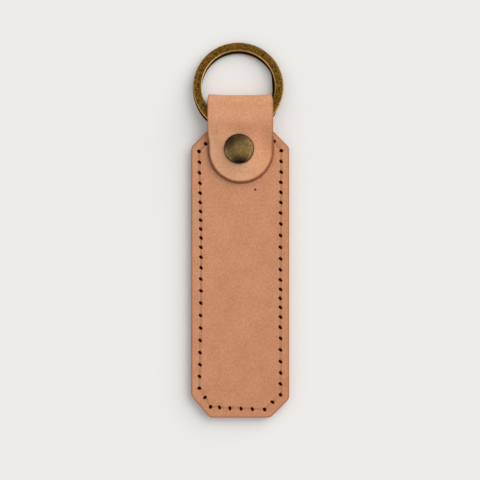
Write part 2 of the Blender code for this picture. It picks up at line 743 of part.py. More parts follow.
def snap_stud(collection, material):
    """The stud: a flange on the front panel and a necked bulb, hollow for the post's end."""
    inner_top = STUD_TOP - STUD_WALL
    crown_radius = STUD_BULB_RADIUS - STUD_CROWN
    profile = [
        (0.0, STUD_TOP),
        (crown_radius, STUD_TOP),
        (STUD_BULB_RADIUS, BULB_WIDEST),
        (STUD_NECK_RADIUS, BULB_START),
        (STUD_NECK_RADIUS, STUD_FLANGE_TOP),
        (STUD_FLANGE_RADIUS, STUD_FLANGE_TOP),
        (STUD_FLANGE_RADIUS, STUD_BOTTOM),
        (STUD_BORE_RADIUS, STUD_BOTTOM),
        (STUD_BORE_RADIUS, inner_top),
        (0.0, inner_top),
    ]
    return turned_piece("snap_stud", profile, False, collection, material)


def stud_post(collection, material):
    """The post: a flange sunk in the back panel and a barrel through both panels into the stud."""
    flange_bottom = FIT
    flange_top = flange_bottom + POST_FLANGE_THICKNESS
    tip = STUD_TOP - STUD_WALL - FIT
    profile = [
        (0.0, tip),
        (POST_BARREL_RADIUS - FIT, tip),
        (POST_BARREL_RADIUS, tip - FIT),
        (POST_BARREL_RADIUS, flange_top),
        (POST_FLANGE_RADIUS, flange_top),
        (POST_FLANGE_RADIUS, flange_bottom + POST_FLANGE_THICKNESS / 2),
        (POST_FLANGE_RADIUS - POST_FLANGE_THICKNESS / 2, flange_bottom),
        (0.0, flange_bottom),
    ]
    return turned_piece("stud_post", profile, False, collection, material)


def ring_wire_path():
    """The middle of the flat wire: a lower turn, a crossover, and an upper turn."""
    crossover_start = CROSSOVER_CENTRE - CROSSOVER_HALF_ANGLE
    crossover_end = CROSSOVER_CENTRE + CROSSOVER_HALF_ANGLE
    start = crossover_end - 2 * math.pi
    end = crossover_start + 2 * math.pi
    steps = round(RING_STEPS_PER_TURN * (end - start) / (2 * math.pi))
    points = []
    for step in range(steps + 1):
        angle = start + (end - start) * step / steps
        share = ease((angle - crossover_start) / (crossover_end - crossover_start))
        height = RING_TURN_PITCH * (share - 0.5)
        points.append((RING_MEAN_RADIUS * math.cos(angle), RING_MEAN_RADIUS * math.sin(angle), height))
    return points


def least_turn_gap(points):
    """The least distance between the two turns' surfaces, measured on the wire's points."""
    least = RING_DIAMETER
    apart_in_points = RING_STEPS_PER_TURN // 2
    for index, (x, y, z) in enumerate(points):
        for other_x, other_y, other_z in points[index + apart_in_points:]:
            rise = max(abs(z - other_z) - RING_WIRE_THICKNESS, 0.0)
            least = min(least, math.hypot(math.hypot(x - other_x, y - other_y), rise))
    return least


def split_ring(collection, material):
    """The split ring, tilted as it lies: near side on the front panel's edge, far side down."""
    points = ring_wire_path()
    print("split ring: least gap between turns %.3f mm" % (least_turn_gap(points) / MM))
    half_band = RING_BAND / 2
    half_thick = RING_WIRE_THICKNESS / 2
    section = [
        (half_band, half_thick - RING_BEVEL),
        (half_band - RING_BEVEL, half_thick),
        (RING_BEVEL - half_band, half_thick),
        (-half_band, half_thick - RING_BEVEL),
        (-half_band, RING_BEVEL - half_thick),
        (RING_BEVEL - half_band, -half_thick),
        (half_band - RING_BEVEL, -half_thick),
        (half_band, RING_BEVEL - half_thick),
    ]
    ring = swept_section("split_ring", points, section)
    ring.location = (0.0, RING_CENTRE_Y, RING_CENTRE_Z)
    ring.rotation_euler.x = -RING_TILT
    return place(ring, collection, material)


def hinge_empty(collection):
    """The axis about which the tab swings open."""
    axis = bpy.data.objects.new("flap_axis", None)
    axis.location = (0.0, FOLD_CENTRE_Y, FOLD_CENTRE_Z)
    axis.rotation_euler.y = -math.pi / 2
    collection.objects.link(axis)
    return axis


def hang_on(axis, pieces):
    """Parents pieces to an axis without moving them."""
    bpy.context.view_layer.update()
    for piece in pieces:
        held = piece.matrix_world.copy()
        piece.parent = axis
        piece.matrix_parent_inverse = axis.matrix_world.inverted()
        piece.matrix_world = held


def shade(collection):
    """Smooth shading on round faces, sharp at real edges."""
    for piece in collection.objects:
        if piece.type == "MESH" and piece.data.polygons:
            piece.data.shade_smooth()
            piece.data.set_sharp_from_angle(angle=SHARP_ANGLE)


def build():
    """Builds the whole keychain."""
    clear_scene()
    parts = new_collection("leather_keychain")
    cutters = new_collection("cutters")
    leather = new_material("tan_leather", (0.58, 0.28, 0.15), 0.6)
    strap_leather = new_material("strap_leather", (0.62, 0.31, 0.17), 0.6)
    brass = new_material("antique_brass", (0.20, 0.12, 0.04), 0.35, 1.0)
    steel = new_material("spring_steel", (0.45, 0.44, 0.42), 0.3, 1.0)
    linen = new_material("sewing_thread", (0.55, 0.36, 0.22), 0.8)
    holes = stitch_holes(cutters)
    front_panel(parts, cutters, leather, holes)
    back_panel(parts, cutters, leather, holes)
    thread("face_thread", FRONT_TOP, 1.0, parts, linen)
    thread("back_thread", 0.0, -1.0, parts, linen)
    strap_fold(parts, strap_leather)
    flap = strap_flap(parts, cutters, strap_leather)
    cap = cap_shell(parts, brass)
    rivet = cap_rivet(parts, brass)
    socket = snap_socket(parts, brass)
    spring = socket_spring(parts, steel)
    snap_stud(parts, brass)
    stud_post(parts, brass)
    split_ring(parts, brass)
    hang_on(hinge_empty(parts), [flap, cap, rivet, socket, spring])
    shade(parts)


build()
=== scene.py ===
"""Leather keychain, dressed: sewn tag and folded strap, press stud, split ring, thread, floor and light."""

import logging
import math
from dataclasses import dataclass
from enum import Enum
from typing import Any, Sequence

import bmesh
import bpy
import numpy as np
from bpy.types import Material, Mesh, Node, NodeSocket, NodeTree, Object
from mathutils import Matrix, Vector


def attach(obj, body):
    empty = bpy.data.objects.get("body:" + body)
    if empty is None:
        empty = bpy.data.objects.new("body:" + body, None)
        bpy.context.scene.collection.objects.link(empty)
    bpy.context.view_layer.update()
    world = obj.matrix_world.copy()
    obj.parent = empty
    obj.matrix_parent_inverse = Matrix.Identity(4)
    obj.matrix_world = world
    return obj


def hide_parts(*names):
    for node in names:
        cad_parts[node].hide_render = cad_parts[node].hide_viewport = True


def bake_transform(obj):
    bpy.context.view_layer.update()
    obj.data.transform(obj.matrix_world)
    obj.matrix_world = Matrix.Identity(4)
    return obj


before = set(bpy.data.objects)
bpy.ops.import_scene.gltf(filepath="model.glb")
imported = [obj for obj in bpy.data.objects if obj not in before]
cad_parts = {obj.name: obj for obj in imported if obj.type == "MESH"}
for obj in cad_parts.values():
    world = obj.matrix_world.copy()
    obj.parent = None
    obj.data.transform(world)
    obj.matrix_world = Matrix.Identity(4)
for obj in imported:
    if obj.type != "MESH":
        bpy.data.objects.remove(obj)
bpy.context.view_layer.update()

LOG = logging.getLogger("keychain")

MM = 0.001
WELD = 0.0004 * MM
FACE_SLACK = 0.001 * MM
OVERRUN = 0.05 * MM
SHARP_ANGLE = math.radians(38.0)
SHORT_SIDE_SHARE = 0.45
STUD_AXIS = (-0.4 * MM, 41.26 * MM)
Array = np.ndarray
Point = tuple[float, float]
Place = tuple[float, float, float]
Colour = tuple[float, float, float, float]
Solid = tuple[Array, list[list[int]]]
Value = NodeSocket | float | Colour


class Slot(Enum):
    """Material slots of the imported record."""

    TAG_LEATHER = "tan_leather"
    STRAP_LEATHER = "strap_leather"
    BRASS = "antique_brass"
    STEEL = "spring_steel"
    THREAD = "sewing_thread"


class Body(Enum):
    """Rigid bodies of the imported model."""

    TAG = "tag"
    FLAP = "flap"
    RING = "ring"


class Face(Enum):
    """The two sewn faces of the tag: height of the leather's surface, and which way is out."""

    FRONT = (3.35 * MM, 1.0)
    BACK = (0.0, -1.0)


def linear(colour: str) -> Colour:
    """Turns an sRGB hex colour into linear values.

    Args:
        colour: six hex digits.

    Returns:
        Red, green, blue and alpha.
    """
    values = [int(colour[at:at + 2], 16) / 255 for at in (0, 2, 4)]
    red, green, blue = (v / 12.92 if v <= 0.04045 else ((v + 0.055) / 1.055) ** 2.4 for v in values)
    return red, green, blue, 1.0


def ease(share: float) -> float:
    """Smooth change from 0 to 1."""
    held = min(max(share, 0.0), 1.0)
    return held * held * (3 - 2 * held)


def eased(share: Array) -> Array:
    """Smooth change from 0 to 1 of a whole array."""
    held = np.clip(share, 0.0, 1.0)
    return held * held * (3 - 2 * held)


def feed(tree: NodeTree, node: Node, inputs: dict[str | int, Any]) -> None:
    """Gives a node its settings and inputs.

    Args:
        tree: the node's tree.
        node: the node.
        inputs: a value or the output to link, by the setting's name, or by the input's name or number.
    """
    for key, value in inputs.items():
        if isinstance(value, NodeSocket):
            tree.links.new(value, node.inputs[key])
        elif isinstance(key, str) and hasattr(node, key):
            setattr(node, key, value)
        else:
            node.inputs[key].default_value = value


def add_node(
    tree: NodeTree, kind: str, inputs: dict[str | int, Any] | None = None, out: str | int = 0
) -> NodeSocket:
    """Adds a node.

    Args:
        tree: the node tree.
        kind: the node's type name.
        inputs: its settings and inputs, as feed takes them.
        out: name or number of the output that is wanted.

    Returns:
        The new node's output.
    """
    node = tree.nodes.new(kind)
    feed(tree, node, inputs or {})
    return node.outputs[out]


def compute(tree: NodeTree, operation: str, *values: Value, clamp: bool = False) -> NodeSocket:
    """Result of a calculation with numbers or outputs."""
    return add_node(
        tree, "ShaderNodeMath", {"operation": operation, "use_clamp": clamp, **dict(enumerate(values))}
    )


def span(
    tree: NodeTree, value: NodeSocket, low: float, high: float,
    to_low: float = 0.0, to_high: float = 1.0, smooth: bool = False,
) -> NodeSocket:
    """A number taken from one span to another, and held at the ends of it."""
    return add_node(tree, "ShaderNodeMapRange", {
        "interpolation_type": "SMOOTHSTEP" if smooth else "LINEAR", "Value": value,
        "From Min": low, "From Max": high, "To Min": to_low, "To Max": to_high,
    }, "Result")


def between(tree: NodeTree, share: float, first: NodeSocket, second: NodeSocket) -> NodeSocket:
    """A number between two others."""
    return add_node(tree, "ShaderNodeMix", {"Factor": share, "A": first, "B": second}, "Result")


def mix(tree: NodeTree, share: Value, first: Value, second: Value, blend: str = "MIX") -> NodeSocket:
    """Mixes two colours, each an output or a value."""
    return add_node(
        tree, "ShaderNodeMix", {"data_type": "RGBA", "blend_type": blend, 0: share, 6: first, 7: second}, 2
    )


def noise(
    tree: NodeTree, place: NodeSocket, size: float, detail: float, roughness: float = 0.5
) -> NodeSocket:
    """Noise whose features are that many millimetres across."""
    return add_node(tree, "ShaderNodeTexNoise", {
        "Vector": place, "Scale": 1.0 / (size * MM), "Detail": detail, "Roughness": roughness,
    }, "Fac")


def carried(tree: NodeTree, name: str, out: str = "Fac") -> NodeSocket:
    """What the piece's mesh carries under a name."""
    return add_node(tree, "ShaderNodeAttribute", {"attribute_name": name}, out)


def bump(tree: NodeTree, strength: float, depth: float, height: NodeSocket) -> NodeSocket:
    """A normal roughened by a height, with its depth in metres."""
    return add_node(
        tree, "ShaderNodeBump", {"Strength": strength, "Distance": depth, "Height": height}, "Normal"
    )


def vector(tree: NodeTree, **parts: Value) -> NodeSocket:
    """A vector from its parts X, Y and Z."""
    return add_node(tree, "ShaderNodeCombineXYZ", parts)


def new_material(name: str) -> tuple[Material, NodeTree, Node]:
    """Makes a material.

    Args:
        name: its name.

    Returns:
        The material, its node tree and its shader.
    """
    material = bpy.data.materials.new(name)
    material.use_nodes = True
    return material, material.node_tree, material.node_tree.nodes["Principled BSDF"]


@dataclass(frozen=True)
class Grain:
    """A noise pattern: its features' size in millimetres, its detail, and the span that becomes 0 to 1."""

    size: float
    detail: float
    low: float
    high: float


@dataclass(frozen=True)
class TannedLeather:
    """Vegetable-tanned cowhide: matt and fine-grained, a little mottled, with edges slicked to red-brown and
    darkened further as painted edge shade; painted shade also darkens round the stitch holes, and its
    paleness carries painted light.
    """

    name: str = "vegetable_tanned_leather"
    deep: str = "be815b"
    pale: str = "edb58d"
    mottled: str = "e5d5cb"
    fleck: str = "a4623f"
    fleck_share: float = 0.30
    # slicked edge colour, laid on stronger than slicking alone gives, as painted edge shade
    burnish_and_edge_shade: str = "7c3f20"
    cut: str = "6c3a1e"
    # stain of the pressed groove, also used as painted shade in the groove and round the stitch holes
    pressed_and_hole_shade: str = "9c5c3a"
    uneven: Point = (0.5, 1.1)
    scar: str = "2c120a"
    scar_place: Place = (4.98 * MM, 28.05 * MM, 1.6 * MM)
    scar_core: float = 0.3 * MM
    scar_size: float = 0.42 * MM
    mottle: Grain = Grain(5.0, 3.0, 0.34, 0.66)
    grain: Grain = Grain(0.75, 4.0, 0.30, 0.70)
    pores: Grain = Grain(0.3, 2.0, 0.60, 0.74)
    grain_share: float = 0.72
    pore_relief: float = 0.45
    relief: float = 0.35
    relief_depth: float = 0.03 * MM
    roughness: float = 0.62
    specular: float = 0.32

    def material(self) -> Material:
        """Builds the leather's material from the attributes that each piece carries.

        Returns:
            The material.
        """
        material, tree, shader = new_material(self.name)
        # hide holds a point's place on the flat hide, so the grain bends with the strap
        hide = carried(tree, "hide", "Vector")
        mottle, grain, pores = (
            span(tree, noise(tree, hide, kind.size, kind.detail), kind.low, kind.high)
            for kind in (self.mottle, self.grain, self.pores)
        )
        # the paleness mixed here carries painted light and painted shade as well as the leather's own colour
        colour = mix(tree, carried(tree, "tone_and_painted_light"), linear(self.deep), linear(self.pale))
        cloud = between(tree, self.grain_share, mottle, grain)
        clouds = mix(tree, cloud, linear(self.mottled), linear("ffffff"))
        colour = mix(tree, 1.0, colour, clouds, "MULTIPLY")
        colour = mix(tree, compute(tree, "MULTIPLY", pores, self.fleck_share), colour, linear(self.fleck))
        uneven = span(tree, grain, 0.0, 1.0, *self.uneven)
        # the pressing and edge stains also carry painted shade: round the stitch holes, in the groove and at
        # the slicked edge
        for name, stain in (("pressed_and_hole_shade", self.pressed_and_hole_shade), ("burnish_and_edge_shade", self.burnish_and_edge_shade), ("cut", self.cut)):
            colour = mix(tree, compute(tree, "MULTIPLY", carried(tree, name), uneven), colour, linear(stain))
        # one small healed scar, as natural hides carry
        away = add_node(
            tree, "ShaderNodeVectorMath", {"operation": "DISTANCE", 0: hide, 1: self.scar_place}, "Value"
        )
        scar = span(tree, away, self.scar_core, self.scar_size, 1.0, 0.0)
        feed(tree, shader, {
            "Base Color": mix(tree, scar, colour, linear(self.scar)),
            "Normal": bump(
                tree, self.relief, self.relief_depth, between(tree, self.pore_relief, grain, pores)
            ),
            "Roughness": self.roughness,
            "Specular IOR Level": self.specular,
        })
        return material


@dataclass(frozen=True)
class AntiqueBrass:
    """Brass darkened with a sulphide bath and rubbed back: brown in its recesses, golden on the edges."""

    name: str = "antiqued_brass"
    dark: str = "2a1b07"
    middle: str = "a07633"
    rubbed: str = "deb468"
    edge_on: str = "8a6436"
    blotch_size: float = 0.6
    blotch_detail: float = 5.0
    blotch_roughness: float = 0.62
    speck_size: float = 0.24
    speck_detail: float = 3.0
    speck_share: float = 0.42
    scuffed: tuple[float, ...] = (0.35, 0.6, 0.55, 1.0)
    relief: float = 0.25
    pit_depth: float = 0.02 * MM
    rough_dark: float = 0.5
    rough_rubbed: float = 0.3
    spread: Point = (0.42, 0.555)
    crust: float = 0.1
    crust_start: float = 0.3
    specular: float = 0.15
    lacquer: float = 0.0
    lacquer_rough: float = 0.35

    def material(self) -> Material:
        """Builds the metal's material; the mesh says where it is rubbed and where its patina is whole, and
        on the cap and the ring's lower turn that patina also carries painted dark reflection and painted
        shade.

        Returns:
            The material.
        """
        material, tree, shader = new_material(self.name)
        place = add_node(tree, "ShaderNodeTexCoord", out="Object")
        blotch = noise(tree, place, self.blotch_size, self.blotch_detail, self.blotch_roughness)
        speck = noise(tree, place, self.speck_size, self.speck_detail)
        both = between(tree, self.speck_share, blotch, speck)
        # the patina value is real patina, plus painted dark reflection in the cap's dark spots and rim and
        # painted shade on the ring's lower turn
        kept = carried(tree, "patina")
        open_metal = compute(tree, "SUBTRACT", 1.0, kept)
        bare = compute(tree, "MULTIPLY", span(tree, both, *self.spread), open_metal)
        worn = compute(tree, "MULTIPLY", carried(tree, "rubbed"), span(tree, speck, *self.scuffed))
        base = mix(tree, bare, linear(self.dark), linear(self.middle))
        feed(tree, shader, {
            "Base Color": mix(tree, worn, base, linear(self.rubbed)),
            "Roughness": span(tree, worn, 0.0, 1.0, self.rough_dark, self.rough_rubbed),
            "Normal": bump(tree, self.relief, self.pit_depth, both),
            # whole patina is a matt crust that is hardly metal any more, so it stays black in a bright room
            "Metallic": span(tree, kept, self.crust_start, 1.0, 1.0, self.crust),
            "Specular IOR Level": self.specular,
            # patina stays brown where it is seen edge on
            "Specular Tint": linear(self.edge_on),
            # the thin lacquer that keeps the patina adds a colourless sheen on the lit side
            "Coat Weight": self.lacquer,
            "Coat Roughness": self.lacquer_rough,
        })
        return material


@dataclass(frozen=True)
class PlainFinish:
    """A finish of one colour: steel wire, waxed thread, white paper, or the raw inside of a hole darkened as
    painted shade.
    """

    name: str
    colour: str
    roughness: float
    metallic: float = 0.0
    specular: float = 0.5

    def material(self) -> Material:
        """Builds the material with its values on the shader's own sockets.

        Returns:
            The material.
        """
        material, tree, shader = new_material(self.name)
        feed(tree, shader, {
            "Base Color": linear(self.colour), "Roughness": self.roughness,
            "Metallic": self.metallic, "Specular IOR Level": self.specular,
        })
        return material


# the cap's brass is darker and finer mottled, its whole patina still half metal, and it keeps its lacquer
CAP_BRASS = AntiqueBrass(
    name="antiqued_brass_cap", dark="1d1103", middle="8f7140", blotch_size=0.5, spread=(0.37, 0.60),
    rough_dark=0.42, crust=0.8, lacquer=0.3,
)
# spring wire: drawn and left bright, so it shows narrow clear highlights
SPRING_STEEL = PlainFinish("drawn_spring_steel", "9c9a94", 0.28, metallic=1.0)
# waxed linen: the wax keeps it matt and nearly the leather's own colour
WAXED_LINEN = PlainFinish("waxed_linen_thread", "bf906c", 0.6, specular=0.25)
# inside of a punched hole: raw red-brown leather core, darkened as painted shade of a hole that sees almost
# no light
SHADED_HOLE_CORE = PlainFinish("punched_hole_core_painted_shade", "8a3a1a", 0.9, specular=0.0)
PAPER_COLOUR = "eeece8"
# uncoated white paper: matt, with no sheen at all
PAPER = PlainFinish("matt_white_paper", PAPER_COLOUR, 0.95, specular=0.0)


def new_group(name: str, taken: str, sizes: Sequence[str], made: str) -> tuple[NodeTree, Any]:
    """Starts a Geometry Nodes tree.

    Args:
        name: the tree's name.
        taken: name of the geometry that it takes.
        sizes: names of the sizes that it takes.
        made: name of the geometry that it makes.

    Returns:
        The tree, and what it is given, by name.
    """
    tree = bpy.data.node_groups.new(name, "GeometryNodeTree")
    tree.interface.new_socket(taken, in_out="INPUT", socket_type="NodeSocketGeometry")
    for size in sizes:
        tree.interface.new_socket(size, in_out="INPUT", socket_type="NodeSocketFloat")
    tree.interface.new_socket(made, in_out="OUTPUT", socket_type="NodeSocketGeometry")
    return tree, tree.nodes.new("NodeGroupInput").outputs


def close_group(tree: NodeTree, geometry: NodeSocket, material: Material, made: str) -> None:
    """Ends a Geometry Nodes tree: makes its geometry real, smooth and of one material.

    Args:
        tree: the tree.
        geometry: what it has made so far.
        material: the material of all of it.
        made: name of the geometry that the tree gives out.
    """
    real = add_node(tree, "GeometryNodeRealizeInstances", {"Geometry": geometry})
    smooth = add_node(tree, "GeometryNodeSetShadeSmooth", {0: real})
    done = add_node(tree, "GeometryNodeSetMaterial", {"Geometry": smooth, "Material": material})
    feed(tree, tree.nodes.new("NodeGroupOutput"), {made: done})


def make_mesh(name: str, points: Array, faces: Sequence[Sequence[int]]) -> Mesh:
    """Makes a closed mesh: doubles merged, faces pointing outwards.

    Args:
        name: the mesh's name.
        points: one row for each corner.
        faces: corner numbers of each face.

    Returns:
        The mesh.
    """
    mesh = bpy.data.meshes.new(name)
    mesh.from_pydata(points.tolist(), [], faces)
    shape = bmesh.new()
    shape.from_mesh(mesh)
    bmesh.ops.remove_doubles(shape, verts=shape.verts, dist=WELD)
    bmesh.ops.dissolve_degenerate(shape, dist=WELD, edges=shape.edges)
    bmesh.ops.recalc_face_normals(shape, faces=shape.faces)
    shape.to_mesh(mesh)
    shape.free()
    return mesh


def set_materials(mesh: Mesh, materials: Sequence[Material]) -> None:
    """Gives a mesh its materials.

    Args:
        mesh: the mesh.
        materials: its materials, in place of what it has.
    """
    mesh.materials.clear()
    for material in materials:
        mesh.materials.append(material)


def link_object(name: str, mesh: Mesh, materials: Sequence[Material] = ()) -> Object:
    """Puts a mesh in the scene as an object at the origin.

    Args:
        name: the object's name.
        mesh: its mesh.
        materials: the mesh's materials, in place of any that it has.

    Returns:
        The object.
    """
    obj = bpy.data.objects.new(name, mesh)
    bpy.context.scene.collection.objects.link(obj)
    set_materials(mesh, materials)
    return obj


def shade_smooth(mesh: Mesh) -> None:
    """Shades a mesh smooth but for its sharp edges.

    Args:
        mesh: the mesh.
    """
    mesh.polygons.foreach_set("use_smooth", np.ones(len(mesh.polygons), bool))
    mesh.set_sharp_from_angle(angle=SHARP_ANGLE)
    mesh.update()


def mesh_points(mesh: Mesh) -> Array:
    """A mesh's corners as one array.

    Args:
        mesh: the mesh.

    Returns:
        A row of three for each corner.
    """
    points = np.empty(len(mesh.vertices) * 3)
    mesh.vertices.foreach_get("co", points)
    return points.reshape(-1, 3)


def set_points(mesh: Mesh, points: Array) -> None:
    """Moves a mesh's corners."""
    mesh.vertices.foreach_set("co", points.ravel())
    mesh.update()


def store(mesh: Mesh, name: str, values: Array) -> None:
    """Keeps a number or a place for each corner of a mesh.

    Args:
        mesh: the mesh.
        name: the attribute's name, which a material reads.
        values: one number or one row of three for each corner.
    """
    vectors = values.ndim == 2
    attribute = mesh.attributes.get(name)
    if attribute is None:
        attribute = mesh.attributes.new(name, "FLOAT_VECTOR" if vectors else "FLOAT", "POINT")
    attribute.data.foreach_set("vector" if vectors else "value", values.astype(np.float32).ravel())


def apply_modifiers(obj: Object) -> Mesh:
    """Turns an object's evaluated shape into its plain mesh and removes the modifiers.

    Args:
        obj: the object.

    Returns:
        Its new mesh.
    """
    evaluated = obj.evaluated_get(bpy.context.evaluated_depsgraph_get())
    mesh = bpy.data.meshes.new_from_object(evaluated)
    obj.modifiers.clear()
    obj.data = mesh
    mesh.name = obj.name
    return mesh


def run_nodes(obj: Object, tree: NodeTree, sizes: dict[str, float], material: Material) -> Mesh:
    """Runs a Geometry Nodes tree on an object.

    Args:
        obj: the object whose mesh holds the points or lines that the tree takes.
        tree: the tree.
        sizes: the tree's sizes by name.
        material: the only material of what is made.

    Returns:
        What the tree made, as the object's plain mesh.
    """
    modifier = obj.modifiers.new(tree.name, "NODES")
    modifier.node_group = tree
    for item in tree.interface.items_tree:
        if item.name in sizes:
            modifier[item.identifier] = sizes[item.name]
    mesh = apply_modifiers(obj)
    set_materials(mesh, [material])
    return mesh


def cut_away(obj: Object, cutter: Object) -> Mesh:
    """Cuts one closed shape out of another, and deletes the cutter.

    Args:
        obj: what is cut; the cut shows the last of its materials.
        cutter: the shape that is taken away.

    Returns:
        The cut object's new mesh.
    """
    set_materials(cutter.data, obj.data.materials)
    last = np.full(len(cutter.data.polygons), len(obj.data.materials) - 1)
    cutter.data.polygons.foreach_set("material_index", last)
    modifier = obj.modifiers.new("cut", "BOOLEAN")
    modifier.operation = "DIFFERENCE"
    modifier.solver = "EXACT"
    modifier.object = cutter
    mesh = apply_modifiers(obj)
    bpy.data.objects.remove(cutter, do_unlink=True)
    return mesh


def prism(centre: Point, length: float, width: float, turn: float, low: float, high: float,
          sides: int, taper: float = 1.0) -> Solid:
    """An upright oval prism.

    Args:
        centre: its middle in plan.
        length: its size along its own long axis.
        width: its size across.
        turn: the long axis's angle in plan.
        low: height of its bottom.
        high: height of its top.
        sides: number of sides.
        taper: size of its bottom as a share of its top's.

    Returns:
        Its corners and its faces.
    """
    angles = np.arange(sides) * (2 * math.pi / sides)
    along, across = length / 2 * np.cos(angles), width / 2 * np.sin(angles)
    x = along * math.cos(turn) - across * math.sin(turn)
    y = along * math.sin(turn) + across * math.cos(turn)
    points = np.concatenate([
        np.column_stack([centre[0] + x * scale, centre[1] + y * scale, np.full(sides, z)])
        for z, scale in ((low, taper), (high, 1.0))
    ])
    faces = [[i, (i + 1) % sides, sides + (i + 1) % sides, sides + i] for i in range(sides)]
    return points, [*faces, list(range(sides))[::-1], list(range(sides, 2 * sides))]


def cutter_object(name: str, solids: Sequence[Solid]) -> Object:
    """Joins solids into one cutter.

    Args:
        name: the cutter's name.
        solids: corners and faces of each solid.

    Returns:
        The cutter.
    """
    points, faces, start = [], [], 0
    for corners, sides in solids:
        points.append(corners)
        faces.extend([[start + corner for corner in face] for face in sides])
        start += len(corners)
    return link_object(name, make_mesh(name, np.concatenate(points), faces))


def ring_faces(rings: int, count: int) -> list[list[int]]:
    """Four-sided faces between closed rings of as many corners, which follow one another."""
    return [
        [ring * count + i, ring * count + (i + 1) % count,
         (ring + 1) * count + (i + 1) % count, (ring + 1) * count + i]
        for ring in range(rings - 1) for i in range(count)
    ]


def soften(profile: Sequence[Point], radius: float, steps: int = 3) -> list[Point]:
    """Rounds the corners of a turned piece's profile.

    Args:
        profile: radius and height of each corner, in order.
        radius: the round's size, less where a side is short.
        steps: points on each round.

    Returns:
        The profile with a small curve for each corner that isn't on the axis.
    """
    points: list[Point] = []
    for number, (r, z) in enumerate(profile):
        if r <= 0.0:
            points.append((r, z))
            continue
        here = np.array((r, z))
        to_before = np.array(profile[number - 1]) - here
        to_after = np.array(profile[(number + 1) % len(profile)]) - here
        shortest = min(np.linalg.norm(to_before), np.linalg.norm(to_after))
        reach = min(radius, SHORT_SIDE_SHARE * shortest)
        start = here + to_before / np.linalg.norm(to_before) * reach
        end = here + to_after / np.linalg.norm(to_after) * reach
        for step in range(steps + 1):
            share = step / steps
            point = (1 - share) ** 2 * start + 2 * share * (1 - share) * here + share ** 2 * end
            points.append((float(point[0]), float(point[1])))
    return points


def turned_mesh(name: str, profile: Sequence[Point], axis: Point, steps: int) -> Mesh:
    """Turns a closed profile round an upright axis.

    Args:
        name: the mesh's name.
        profile: radius and height of each corner; it closes on the axis or on itself.
        axis: the axis's place in plan.
        steps: number of steps round.

    Returns:
        The closed mesh.
    """
    count = len(profile)
    radii, heights = np.array(profile).T
    points, faces = [], []
    for step in range(steps):
        angle = 2 * math.pi * step / steps
        x, y = axis[0] + radii * math.cos(angle), axis[1] + radii * math.sin(angle)
        points.append(np.column_stack([x, y, heights]))
        here, there = step * count, (step + 1) % steps * count
        for number in range(count):
            after = (number + 1) % count
            if max(radii[number], radii[after]) > 0.0:
                faces.append([here + number, here + after, there + after, there + number])
    return make_mesh(name, np.concatenate(points), faces)


def distance_to_line(points: Array, line: Array, closed: bool) -> Array:
    """Least distance in plan from each point to a line of straight pieces.

    Args:
        points: the points, a row of two each.
        line: the line's corners, a row of two each.
        closed: whether the last corner joins the first.

    Returns:
        One distance for each point.
    """
    starts = line if closed else line[:-1]
    ends = np.roll(line, -1, axis=0) if closed else line[1:]
    least = np.full(len(points), np.inf)
    for start, end in zip(starts, ends):
        run = end - start
        share = np.clip((points - start) @ run / max(float(run @ run), 1e-18), 0.0, 1.0)
        gap = points - (start + share[:, None] * run)
        least = np.minimum(least, np.hypot(gap[:, 0], gap[:, 1]))
    return least


@dataclass(frozen=True)
class Corner:
    """A corner of a flat leather pattern, its rounding, and how finely it and the next side are cut."""

    x: float
    y: float
    radius: float
    arc_steps: int
    side_shares: tuple[float, ...] = ()


def even_shares(count: int) -> tuple[float, ...]:
    """Evenly spaced places along a side, without its ends."""
    return tuple(step / count for step in range(1, count))


